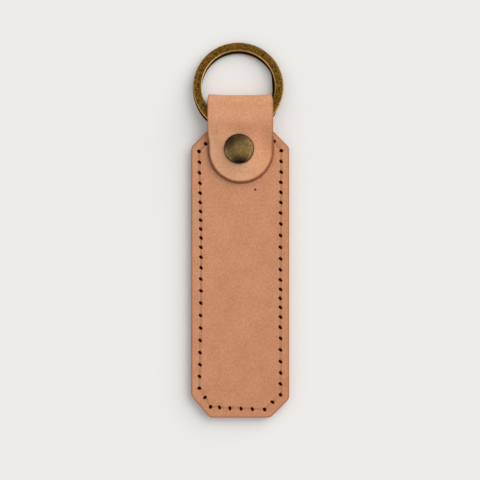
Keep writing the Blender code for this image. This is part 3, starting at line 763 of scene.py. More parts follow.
@dataclass(frozen=True)
class LeatherSheet:
    """A flat cut piece of leather: rings of faces from its rounded edge in to a line down its middle."""

    corners: tuple[Corner, ...]
    spine: tuple[float, ...]
    thickness: float = 1.6 * MM
    edge_round: float = 0.32 * MM
    edge_steps: int = 4
    keen_radius: float = 0.35 * MM
    skirt: tuple[float, ...] = (0.5, 0.8, 1.2, 1.8, 2.3, 2.48, 2.6, 2.72, 2.9, 3.08, 3.2, 3.32, 3.6, 4.0)
    fill: tuple[float, ...] = (0.33, 0.67, 1.0)

    def outline(self, inset: float) -> Array:
        """The pattern's outline moved inwards, with the same number of points for any inset.

        Args:
            inset: distance from the cut edge.

        Returns:
            Points in plan, counter-clockwise.
        """
        places = np.array([(c.x, c.y) for c in self.corners])
        along = np.roll(places, -1, axis=0) - places
        along /= np.linalg.norm(along, axis=1)[:, None]
        inward = np.column_stack([-along[:, 1], along[:, 0]])
        arcs = []
        for number, corner in enumerate(self.corners):
            before, after = along[number - 1], along[number]
            turn = math.atan2(before[0] * after[1] - before[1] * after[0], float(before @ after))
            push = inward[number - 1] + inward[number]
            vertex = places[number] + push * (inset / (1 + float(inward[number - 1] @ inward[number])))
            radius = max(corner.radius - inset, self.keen_radius) if turn > 0 else corner.radius + inset
            arrive = vertex - before * radius * math.tan(abs(turn) / 2)
            centre = arrive + inward[number - 1] * math.copysign(radius, turn)
            spoke = arrive - centre
            angles = np.arange(corner.arc_steps + 1) * (turn / corner.arc_steps)
            arcs.append(np.column_stack([
                centre[0] + spoke[0] * np.cos(angles) - spoke[1] * np.sin(angles),
                centre[1] + spoke[0] * np.sin(angles) + spoke[1] * np.cos(angles),
            ]))
        rows = []
        for number, corner in enumerate(self.corners):
            rows.append(arcs[number])
            start, end = arcs[number][-1], arcs[(number + 1) % len(arcs)][0]
            if corner.side_shares:
                rows.append(start + np.array(corner.side_shares)[:, None] * (end - start))
        return np.concatenate(rows)

    def edge_profile(self) -> list[Point]:
        """The sheet's edge, from the lower face round to the upper face.

        Returns:
            Inset and height of each ring.
        """
        r = self.edge_round
        lower = [(inset * MM, 0.0) for inset in reversed(self.skirt)]
        turn = [math.pi / 2 * step / self.edge_steps for step in range(self.edge_steps + 1)]
        lower += [(r * (1 - math.sin(a)), r * (1 - math.cos(a))) for a in turn]
        upper = [(inset, self.thickness - height) for inset, height in reversed(lower)]
        return lower + [(0.0, self.thickness / 2)] + upper

    def mesh(self, name: str) -> Mesh:
        """Builds the flat sheet, X and Y in plan and Z through its thickness.

        Args:
            name: the mesh's name.

        Returns:
            The closed mesh.
        """
        profile = self.edge_profile()
        inner = self.outline(profile[0][0])
        stations = np.array(self.spine)
        nearest = stations[np.abs(inner[:, 1][:, None] - stations[None, :]).argmin(axis=1)]
        middle = np.column_stack([np.zeros(len(inner)), nearest])
        filled = [inner + (middle - inner) * share for share in self.fill]
        rings = [(ring, 0.0) for ring in reversed(filled)]
        rings += [(self.outline(inset), height) for inset, height in profile]
        rings += [(ring, self.thickness) for ring in filled]
        points = np.concatenate([np.column_stack([ring, np.full(len(ring), z)]) for ring, z in rings])
        return make_mesh(name, points, ring_faces(len(rings), len(inner)))


@dataclass(frozen=True)
class Leg:
    """One run of the seam: its far end, how its holes drift along it, their slant, and its bow inwards."""

    end: Point
    drift: tuple[float, ...] = ()
    slant: float = math.radians(95.0)
    bow: float = 0.0


@dataclass(frozen=True)
class Hole:
    """A punched stitch hole: its place, its long axis's angle, and its two sizes."""

    place: Point
    turn: float
    length: float
    width: float


@dataclass(frozen=True)
class Seam:
    """Saddle-stitched seam round the tag: its path, its slanted holes and the thread on both faces."""

    start: Point = (-11.47 * MM, 43.25 * MM)
    legs: tuple[Leg, ...] = (
        Leg((-13.66 * MM, 40.74 * MM)),
        Leg((-13.56 * MM, -37.85 * MM), (-3.34 * MM, 0.6 * MM, 0.82 * MM), math.radians(45.0), 0.6 * MM),
        Leg((-9.87 * MM, -44.06 * MM)),
        Leg((8.07 * MM, -44.92 * MM), (-0.76 * MM, -0.07 * MM, -0.09 * MM), math.radians(105.0), -0.1 * MM),
        Leg((13.38 * MM, -40.05 * MM)),
        Leg((13.6 * MM, 40.96 * MM), (0.23 * MM, 0.39 * MM, 0.58 * MM, -0.08 * MM, -0.4 * MM),
            math.radians(45.0), 0.14 * MM),
        Leg((11.2 * MM, 44.02 * MM)),
    )
    pitch: float = 3.55 * MM
    hole_length: float = 1.5 * MM
    hole_width: float = 0.98 * MM
    corner_length: float = 1.4 * MM
    corner_width: float = 1.12 * MM
    hole_sides: int = 14
    sideways: float = 0.05 * MM
    sideways_beat: float = 2.3
    twist: float = 0.16
    twist_beat: float = 1.9
    twist_start: float = 0.7
    groove_depth: float = 0.3 * MM
    groove_half_width: float = 0.42 * MM
    thread_radius: float = 0.19 * MM
    thread_depth: float = 0.15 * MM
    thread_drop: float = 1.15 * MM
    thread_end: float = 0.6 * MM
    thread_loose: float = 0.02 * MM
    thread_seed: int = 11
    ply_share: float = 0.52
    ply_sides: int = 6
    ply_turn: float = 2.3 * math.pi
    dive_share: float = 0.82
    stitch_points: int = 25

    def holes(self) -> list[Hole]:
        """Places the punched holes: one at every corner, the rest a little unevenly as by hand.

        Returns:
            The holes in order.
        """
        holes: list[Hole] = []
        start = np.array(self.start)
        arriving = None
        for leg in self.legs:
            end = np.array(leg.end)
            run = end - start
            length = float(np.linalg.norm(run))
            along = run / length
            inward = np.array([-along[1], along[0]])
            turn = math.atan2(run[1], run[0]) + leg.slant
            count = max(1, round(length / self.pitch))
            corner = turn if arriving is None else (turn + arriving) / 2
            place = (float(start[0]), float(start[1]))
            holes.append(Hole(place, corner, self.corner_length, self.corner_width))
            for step in range(1, count):
                share = step / count
                drift = sum(wave * math.sin(math.pi * (k + 1) * share) for k, wave in enumerate(leg.drift))
                aside = leg.bow * math.sin(math.pi * share)
                aside += self.sideways * math.sin(self.sideways_beat * step)
                x, y = start + along * (length * share + drift) + inward * aside
                held = turn + self.twist * math.sin(self.twist_beat * step + self.twist_start)
                holes.append(Hole((float(x), float(y)), held, self.hole_length, self.hole_width))
            start, arriving = end, turn
        holes.append(Hole(self.legs[-1].end, arriving, self.corner_length, self.corner_width))
        return holes

    def cutter(self, low: float, high: float, punch: Point) -> Object:
        """The holes as one cutter through a sheet, narrower at the bottom as the awl's point leaves them.

        Args:
            low: height of the cutter's bottom.
            high: height of its top.
            punch: share of the holes' full size at the top, and size at the bottom as a share of that.

        Returns:
            The cutter.
        """
        size, taper = punch
        return cutter_object("stitch_hole_cutter", [
            prism(hole.place, hole.length * size, hole.width * size, hole.turn, low, high,
                  self.hole_sides, taper)
            for hole in self.holes()
        ])

    def path(self) -> Array:
        """The line from hole to hole."""
        return np.array([hole.place for hole in self.holes()])

    def groove(self, distance: Array) -> Array:
        """Depth of the stitching groove at a distance from the seam."""
        share = np.clip(distance / self.groove_half_width, 0.0, 1.0)
        return self.groove_depth * 0.5 * (1 + np.cos(math.pi * share))

    def stitch_tree(self, material: Material) -> NodeTree:
        """Geometry Nodes that lay one three-ply stitch on each point.

        Args:
            material: the thread's material.

        Returns:
            The node tree, with named inputs for the stitch's sizes.
        """
        names = ("Stitch Length", "Thread Radius", "End Drop", "Loose Sideways")
        tree, given = new_group("three_ply_stitches", "Stitch Points", names, "Stitches")
        half, minus = (compute(tree, "MULTIPLY", given["Stitch Length"], share) for share in (0.5, -0.5))
        line = add_node(tree, "GeometryNodeCurvePrimitiveLine",
                        {"Start": vector(tree, X=minus), "End": vector(tree, X=half)}, "Curve")
        line = add_node(
            tree, "GeometryNodeResampleCurve", {"Count": self.stitch_points, "Curve": line}, "Curve"
        )
        place = add_node(
            tree, "ShaderNodeSeparateXYZ", {0: add_node(tree, "GeometryNodeInputPosition")}, "X"
        )
        share = compute(tree, "DIVIDE", place, half)
        dip = span(tree, compute(tree, "ABSOLUTE", share), self.dive_share, 1.0, 0.0, -1.0, smooth=True)
        drop = compute(tree, "MULTIPLY", dip, given["End Drop"])
        ply = compute(tree, "MULTIPLY", given["Thread Radius"], self.ply_share)
        circle = add_node(
            tree, "GeometryNodeCurvePrimitiveCircle", {"Resolution": self.ply_sides, "Radius": ply}, "Curve"
        )
        join = tree.nodes.new("GeometryNodeJoinGeometry")
        for strand in range(3):
            angle = compute(tree, "MULTIPLY_ADD", share, self.ply_turn, 2 * math.pi * strand / 3)
            across, up = (
                compute(tree, "MULTIPLY", compute(tree, wave, angle), ply) for wave in ("COSINE", "SINE")
            )
            offset = vector(tree, Y=across, Z=compute(tree, "ADD", up, drop))
            wound = add_node(
                tree, "GeometryNodeSetPosition", {"Geometry": line, "Offset": offset}, "Geometry"
            )
            tube = add_node(tree, "GeometryNodeCurveToMesh",
                            {"Fill Caps": True, "Curve": wound, "Profile Curve": circle}, "Mesh")
            tree.links.new(tube, join.inputs[0])
        heading, reach, over = (
            add_node(tree, "GeometryNodeInputNamedAttribute", {"data_type": "FLOAT", "Name": name})
            for name in ("heading", "reach", "over")
        )
        loose = add_node(tree, "FunctionNodeRandomValue",
                         {"data_type": "FLOAT", "Seed": self.thread_seed, 2: -1.0, 3: 1.0}, 1)
        aside = compute(tree, "MULTIPLY", loose, given["Loose Sideways"])
        points = add_node(tree, "GeometryNodeSetPosition", {
            "Geometry": given["Stitch Points"], "Offset": vector(tree, X=aside, Y=aside),
        }, "Geometry")
        laid = add_node(tree, "GeometryNodeInstanceOnPoints", {
            "Points": points, "Instance": join.outputs[0],
            "Rotation": add_node(tree, "FunctionNodeEulerToRotation", {0: vector(tree, X=over, Z=heading)}),
            "Scale": vector(tree, X=reach, Y=1.0, Z=1.0),
        }, "Instances")
        close_group(tree, laid, material, "Stitches")
        return tree

    def thread(self, name: str, face: Face, material: Material) -> Object:
        """Sews the visible stitches of one face.

        Args:
            name: the piece's name.
            face: which face of the tag.
            material: the thread's material.

        Returns:
            The thread as one plain mesh.
        """
        surface, outward = face.value
        places = self.path()
        points, headings, reaches = [], [], []
        for start, end in zip(places, places[1:]):
            run = end - start
            middle = (start + end) / 2
            points.append((middle[0], middle[1], surface - outward * self.thread_depth))
            headings.append(math.atan2(run[1], run[0]))
            reaches.append((float(np.linalg.norm(run)) - 2 * self.thread_end) / self.pitch)
        mesh = bpy.data.meshes.new(name)
        mesh.from_pydata(points, [], [])
        store(mesh, "heading", np.array(headings))
        store(mesh, "reach", np.array(reaches))
        store(mesh, "over", np.full(len(points), 0.0 if outward > 0 else math.pi))
        obj = link_object(name, mesh)
        run_nodes(obj, self.stitch_tree(material), {
            "Stitch Length": self.pitch, "Thread Radius": self.thread_radius,
            "End Drop": self.thread_drop, "Loose Sideways": self.thread_loose,
        }, material)
        return obj


@dataclass(frozen=True)
class HideToneAndPaintedLight:
    """How pale the hide is painted, from 0 to 1: paler upwards as painted light for light that falls off
    down the tag, a little darker towards the right, paler on the strap, painted light and shade on the tab
    that even out its drooping rim, and painted shade in the crease above the stud.
    """

    middle: float = 0.31
    # painted light: paler up the tag, as the light falls off towards its bottom
    painted_light_upwards: float = 0.06
    rightwards: float = -0.04
    strap: float = 0.55
    # painted light: the tab paler towards its tip below the stud, against the shade of its drooping rim
    tab_tip_painted_light: float = 0.32
    strap_tip_lead: float = 2 * MM
    # painted light and shade on the tab below the bend: paler overall and on its left, darker on its right,
    # evening out how its drooping rim takes the light
    strap_low: float = 0.06
    tab_sides_painted_light_and_shade: float = -0.34
    strap_low_y: float = 52 * MM
    strap_low_fade: float = 8 * MM
    # painted shade in the crease above the stud: its strength, place and size
    painted_crease_shade: float = 0.28
    crease_place: Point = (0.6 * MM, 48.4 * MM)
    crease_width: float = 5.6 * MM
    crease_height: float = 2.0 * MM
    turn_lead: float = 2 * MM
    fade: float = 6 * MM


@dataclass(frozen=True)
class StainsAndShade:
    """How strongly slicking, cutting and sewing stain the leather, and how far each stain reaches; the
    slicked edge and the groove also carry painted shade, and the darkening round the stitch holes is painted
    shade.
    """

    # the slicked edge's stain, made stronger as painted edge shade
    burnish_and_edge_shade: float = 0.85
    burnish_reach: float = 0.33 * MM
    cut: float = 0.62
    cut_inset: float = 0.02 * MM
    cut_depth: float = 0.1 * MM
    groove: float = 0.14
    groove_reach: float = 0.36 * MM
    # painted shade round each stitch hole: its strength, and where it starts and how far it reaches
    rim: float = 0.6
    rim_start: float = 0.48 * MM
    rim_reach: float = 0.2 * MM


@dataclass(frozen=True)
class Tag:
    """The sewn tag: front panel, and back panel in one with its strap, which folds over the ring."""

    half_width: float = 16.25 * MM
    half_length: float = 47.6 * MM
    half_strap: float = 10.85 * MM
    shoulder_y: float = 42.0 * MM
    left_cut: Point = (-10.15 * MM, -40.3 * MM)
    right_cut: Point = (10.05 * MM, -41.4 * MM)
    corner_radius: float = 2.0 * MM
    corner_steps: int = 6
    neck_radius: float = 0.6 * MM
    neck_corner_steps: int = 3
    neck_angle: float = math.radians(22.0)
    neck_steps: int = 9
    thickness: float = 1.6 * MM
    front_bottom: float = 1.75 * MM
    fold_y: float = 55.85 * MM
    fold_z: float = 3.55 * MM
    fold_radius: float = 2.75 * MM
    fold_steps: int = 44
    tab_steps: int = 26
    tip_corner_steps: int = 44
    cut_steps: int = 12
    side_steps: int = 132
    end_steps: int = 34
    spine_step: float = 1.35 * MM
    spine_inset: float = 13.0 * MM
    snap: Point = STUD_AXIS
    tab_centre_y: float = 41.6 * MM
    tip_y: float = 30.75 * MM
    flap_under: float = 5.67 * MM
    flap_root: float = 5.5 * MM
    flap_crest: float = 5.95 * MM
    crest_y: float = 50.2 * MM
    level_half: float = 4.95 * MM
    level_slack: float = 0.7 * MM
    slope_step: float = 0.05 * MM
    rim_droop: float = 2.12 * MM
    rim_reach: float = 5.4 * MM
    rim_power: float = 1.25
    rim_bend: float = 1.6
    rim_top_y: float = 52.0 * MM
    rim_fade: float = 11.0 * MM
    wall_slope: float = 0.78 * MM
    wall_outset: float = 0.28 * MM
    wall_depth: float = 1.5 * MM
    wall_fade: float = 1.2 * MM
    tab_shift: Point = (0.2 * MM, 0.6 * MM)
    tab_lead: float = 6.5 * MM
    tab_fade: float = 5.0 * MM
    fold_narrowing: float = 0.42 * MM
    narrowing_reach: float = 4.2 * MM
    lift: float = 0.3 * MM
    lift_start: float = 0.45
    lift_sink: float = 0.02 * MM
    awl_pocket: float = 0.9 * MM
    thread_plug: float = 0.15 * MM
    front_punch: Point = (1.02, 0.88)
    pocket_punch: Point = (1.12, 1.0)
    back_punch: Point = (0.66, 1.06)
    seam: Seam = Seam()
    tones_and_painted_light: HideToneAndPaintedLight = HideToneAndPaintedLight()
    stains_and_shade: StainsAndShade = StainsAndShade()

    def corner(self, x: float, y: float, shares: tuple[float, ...]) -> Corner:
        """A corner of the tag with its usual rounding."""
        return Corner(x, y, self.corner_radius, self.corner_steps, shares)

    def tag_corners(self, top: Sequence[Corner]) -> tuple[Corner, ...]:
        """Corners of the whole pattern.

        Args:
            top: the corners between the shoulders.

        Returns:
            The corners, counter-clockwise from the lower right.
        """
        w, h = self.half_width, self.half_length
        cut, long_side = even_shares(self.cut_steps), even_shares(self.side_steps)
        return (
            self.corner(self.right_cut[0], -h, cut),
            self.corner(w, self.right_cut[1], long_side),
            self.corner(w, self.shoulder_y, cut),
            *top,
            self.corner(-w, self.shoulder_y, long_side),
            self.corner(-w, self.left_cut[1], cut),
            self.corner(self.left_cut[0], -h, even_shares(self.end_steps)),
        )

    def fold_length(self) -> float:
        """Length of leather in the strap's bend, along its middle."""
        return math.pi * self.fold_radius

    def flap_start(self) -> float:
        """Where the tab starts on the flat pattern."""
        return self.fold_y + self.fold_length()

    def neck_low(self) -> float:
        """Where the strap's straight sides start."""
        return self.half_length + self.neck_radius * math.tan(self.neck_angle)

    def strap_stations(self) -> list[float]:
        """Where the flat strap's faces are cut, close together in the bend.

        Returns:
            Places along the strap.
        """
        low, start, length, bends = self.neck_low(), self.flap_start(), self.fold_length(), self.fold_steps
        high = start + self.fold_y - self.tab_centre_y
        neck = [low + (self.fold_y - low) * step / self.neck_steps for step in range(1, self.neck_steps)]
        bend = [self.fold_y + length * step / bends for step in range(bends + 1)]
        tab = [start + (high - start) * step / self.tab_steps for step in range(1, self.tab_steps)]
        return neck + bend + tab

    def flap_underside(self, y: Array) -> Array:
        """Height of the tab's underside: over the ring, level at the press stud, and down to the tip.

        Args:
            y: places along the tab.

        Returns:
            The height at each place.
        """
        level_top = self.snap[1] + self.level_half - self.level_slack
        rise = eased((self.fold_y - y) / (self.fold_y - self.crest_y))
        fall = eased((self.crest_y - y) / (self.crest_y - level_top))
        over = self.flap_root + (self.flap_crest - self.flap_root) * rise
        return over + (self.flap_under - self.flap_crest) * fall

    def rim_drop(self, x: Array, y: Array) -> Array:
        """How far the tab's soft rim hangs below the level of its middle, down to the front panel.

        Args:
            x: places across the tab.
            y: places along it.

        Returns:
            The drop at each place.
        """
        out = np.hypot(x - self.snap[0], np.minimum(y - self.snap[1], 0.0))
        share = np.maximum((out - self.level_half) / self.rim_reach, 0.0) ** self.rim_power
        held = eased((self.rim_top_y - y) / self.rim_fade)
        return self.rim_droop * held * np.tanh(self.rim_bend * share) / math.tanh(self.rim_bend)

    def trim_tab(self, flat: Array) -> Array:
        """Shapes the flat strap's edges: drawn in at the bend, and cut at a slant round the tab.

        Args:
            flat: across, along and through the flat leather, a row each.

        Returns:
            The moved points.
        """
        x, s, t = flat.T
        trimmed = flat.copy()
        centre = self.flap_start() + self.fold_y - self.tab_centre_y
        crown = self.fold_y + self.fold_length() / 2
        past = np.maximum(s - centre, 0.0)
        out = np.maximum(np.hypot(x, past), 1e-9)
        near = eased((out - self.half_strap + self.wall_depth) / self.wall_fade)
        tab = eased((s - centre + self.tab_lead) / self.tab_fade)
        inward = (self.wall_slope * (1 - t / self.thickness) - self.wall_outset) * near * tab
        bent = eased(1 - np.abs(s - crown) / self.narrowing_reach)
        trimmed[:, 0] = x - x / out * inward - x / self.half_strap * self.fold_narrowing * bent
        trimmed[:, 0] += self.tab_shift[0] * tab
        trimmed[:, 1] = s - past / out * inward + self.tab_shift[1] * tab
        return trimmed

    def lay_strap(self, flat: Array) -> Array:
        """Takes points of the flat back leather to where they lie: panel, bend over the ring, and tab.

        Args:
            flat: across, along and through the flat leather, a row each.

        Returns:
            The points in place.
        """
        flat = self.trim_tab(flat)
        x, s, t = flat.T
        laid = flat.copy()
        bend = (s > self.fold_y) & (s <= self.flap_start())
        angle = (s - self.fold_y) / self.fold_radius
        radius = self.fold_radius + self.thickness / 2 - t
        swell = self.corner_lift(x, angle)
        laid[bend, 1] = (self.fold_y + (radius + swell) * np.sin(angle))[bend]
        laid[bend, 2] = (self.fold_z - radius * np.cos(angle))[bend]
        tab = s > self.flap_start()
        y = self.fold_y - (s - self.flap_start())
        step = self.slope_step
        slope = (self.flap_underside(y + step) - self.flap_underside(y - step)) / (2 * step)
        lean = slope / np.sqrt(1 + slope ** 2)
        middle_y = y + self.thickness / 2 * lean
        up = self.thickness / 2 - t
        height = self.flap_underside(middle_y) + self.thickness / 2
        laid[tab, 1] = (middle_y - up * lean)[tab]
        laid[tab, 2] = (height + up * np.sqrt(1 - lean ** 2) - self.rim_drop(x, y))[tab]
        return laid

    def corner_lift(self, x: Array, angle: Array) -> Array:
        """How far the bend's corners stand out past its middle, as bent thick leather does."""
        side = eased((np.abs(x) / self.half_strap - self.lift_start) / (1.0 - self.lift_start))
        return self.lift * side * np.sin(np.clip(angle, 0.0, math.pi)) - self.lift_sink

    def hide_tone_and_painted_light(self, flat: Array) -> Array:
        """How pale the hide is painted at each corner, with painted light and painted shade in it.

        Args:
            flat: across, along and through the flat leather, a row each.

        Returns:
            0 for the deepest and 1 for the palest.
        """
        x, s = flat[:, 0], flat[:, 1]
        tones_and_painted_light = self.tones_and_painted_light
        # paler upwards as painted light, a little darker to the right
        tone_and_painted_light = tones_and_painted_light.middle + tones_and_painted_light.painted_light_upwards * s / self.half_length + tones_and_painted_light.rightwards * x / self.half_width
        y = self.fold_y - (s - self.flap_start())
        # painted light towards the tab's tip, and below the bend painted light on the tab's left and painted
        # shade on its right
        down = eased((self.snap[1] + tones_and_painted_light.strap_tip_lead - y) / tones_and_painted_light.fade)
        low = eased((tones_and_painted_light.strap_low_y - y) / tones_and_painted_light.strap_low_fade)
        side = tones_and_painted_light.strap_low + tones_and_painted_light.tab_sides_painted_light_and_shade * x / self.half_strap
        strap = tones_and_painted_light.strap + tones_and_painted_light.tab_tip_painted_light * down + side * low
        # painted shade where the strap comes down towards the stud
        crease_x, crease_y = tones_and_painted_light.crease_place
        painted_crease_shade = tones_and_painted_light.painted_crease_shade * np.exp(
            -((y - crease_y) / tones_and_painted_light.crease_height) ** 2 - ((x - crease_x) / tones_and_painted_light.crease_width) ** 2
        )
        turn = eased((s - self.fold_y + tones_and_painted_light.turn_lead) / tones_and_painted_light.fade)
        return np.clip(tone_and_painted_light + (strap - painted_crease_shade - tone_and_painted_light) * turn, 0.0, 1.0)

    def cut_sheet(self, name: str, corners: tuple[Corner, ...], spine: Sequence[float], face: Face,
                  finishes: Sequence[Material]) -> tuple[Object, LeatherSheet]:
        """Cuts a flat piece of leather and presses the stitching groove into its outer face.

        Args:
            name: the piece's name.
            corners: its pattern.
            spine: places along its middle where the faces of both halves meet.
            face: the tag's face that it shows.
            finishes: its leather, and the core that its holes show.

        Returns:
            The piece, still flat, and its sheet.
        """
        sheet = LeatherSheet(corners, tuple(spine))
        mesh = sheet.mesh("flat_" + name)
        points = mesh_points(mesh)
        height, outward = points[:, 2], face.value[1]
        grooved = height > self.thickness - FACE_SLACK if outward > 0 else height < FACE_SLACK
        sewn = distance_to_line(points[grooved, :2], self.seam.path(), False)
        points[grooved, 2] -= outward * self.seam.groove(sewn)
        set_points(mesh, points)
        return link_object(name, mesh, finishes), sheet

    def dress(self, mesh: Mesh, sheet: LeatherSheet) -> Array:
        """Stores what the leather's finish reads on a piece that is still flat.

        Args:
            mesh: the piece's mesh.
            sheet: its sheet.

        Returns:
            Its corners on the flat pattern.
        """
        flat, stains_and_shade = mesh_points(mesh), self.stains_and_shade
        plan, height = flat[:, :2], flat[:, 2]
        inset = distance_to_line(plan, sheet.outline(0.0), True)
        sewn = distance_to_line(plan, self.seam.path(), False)
        holes = np.full(len(flat), np.inf)
        for x, y in self.seam.path():
            holes = np.minimum(holes, np.hypot(plan[:, 0] - x, plan[:, 1] - y))
        off_face = np.minimum(height, sheet.thickness - height)
        wall = (inset < stains_and_shade.cut_inset) & (off_face > stains_and_shade.cut_depth)
        # the groove darkens partly as pressed leather and partly as painted shade; the rims round the holes
        # darken as painted shade
        groove = stains_and_shade.groove * np.exp(-(sewn / stains_and_shade.groove_reach) ** 2)
        rim = stains_and_shade.rim * np.exp(-(np.maximum(holes - stains_and_shade.rim_start, 0.0) / stains_and_shade.rim_reach) ** 2)
        store(mesh, "hide", flat)
        # the hide's paleness, with painted light and painted shade in it
        store(mesh, "tone_and_painted_light", self.hide_tone_and_painted_light(flat))
        # dark slicked edge, made darker as painted edge shade
        store(mesh, "burnish_and_edge_shade", stains_and_shade.burnish_and_edge_shade * np.exp(-(inset / stains_and_shade.burnish_reach) ** 2))
        store(mesh, "cut", stains_and_shade.cut * wall.astype(float))
        store(mesh, "pressed_and_hole_shade", np.clip(groove + rim, 0.0, 1.0))
        return flat

    def front_panel(self, finishes: Sequence[Material]) -> Object:
        """The front panel: cut corners, grooved seam and punched holes.

        Args:
            finishes: its leather, and the core that its holes show.

        Returns:
            The panel in place.
        """
        corners = self.tag_corners((
            self.corner(self.half_strap, self.half_length, even_shares(self.end_steps)),
            self.corner(-self.half_strap, self.half_length, even_shares(self.cut_steps)),
        ))
        reach = self.half_length - self.spine_inset
        count = round(2 * reach / self.spine_step)
        spine = [-reach + 2 * reach * step / count for step in range(count + 1)]
        obj, sheet = self.cut_sheet("front_leather_panel", corners, spine, Face.FRONT, finishes)
        mesh = cut_away(obj, self.seam.cutter(-OVERRUN, self.thickness + OVERRUN, self.front_punch))
        flat = self.dress(mesh, sheet)
        flat[:, 2] += self.front_bottom
        set_points(mesh, flat)
        shade_smooth(mesh)
        return obj

    def back_leather(self, finishes: Sequence[Material], stud_holes: Sequence[Solid]) -> Object:
        """The back panel in one with the strap: cut flat, grooved, punched, and bent over the ring.

        Args:
            finishes: its leather, and the core that its holes show.
            stud_holes: what the press stud's pieces take from the flat leather.

        Returns:
            The leather in place.
        """
        stations = self.strap_stations()
        low = self.neck_low()
        end = self.flap_start() + self.fold_y - self.tip_y
        high = end - self.half_strap
        shares = tuple((station - low) / (high - low) for station in stations)
        backwards = tuple(1.0 - share for share in reversed(shares))
        half, top, neck = self.half_strap, self.half_length, self.neck_radius
        neck_arc, tip_arc = self.neck_corner_steps, self.tip_corner_steps
        corners = self.tag_corners((
            Corner(half, top, neck, neck_arc, shares),
            Corner(half, end, half, tip_arc),
            Corner(-half, end, half, tip_arc, backwards),
            Corner(-half, top, neck, neck_arc, even_shares(self.cut_steps)),
        ))
        bottom = -top + self.spine_inset
        count = round((top - bottom) / self.spine_step)
        spine = [bottom + (top - bottom) * step / count for step in range(count + 1)]
        obj, sheet = self.cut_sheet(
            "back_leather_with_strap", corners, [*spine, *stations, high], Face.BACK, finishes
        )
        pocket = self.thickness - self.awl_pocket
        cut_away(obj, self.seam.cutter(pocket, self.thickness + OVERRUN, self.pocket_punch))
        cut_away(obj, self.seam.cutter(-OVERRUN, pocket - self.thread_plug, self.back_punch))
        mesh = cut_away(obj, cutter_object("stud_hole_cutter", stud_holes))
        set_points(mesh, self.lay_strap(self.dress(mesh, sheet)))
        shade_smooth(mesh)
        return obj


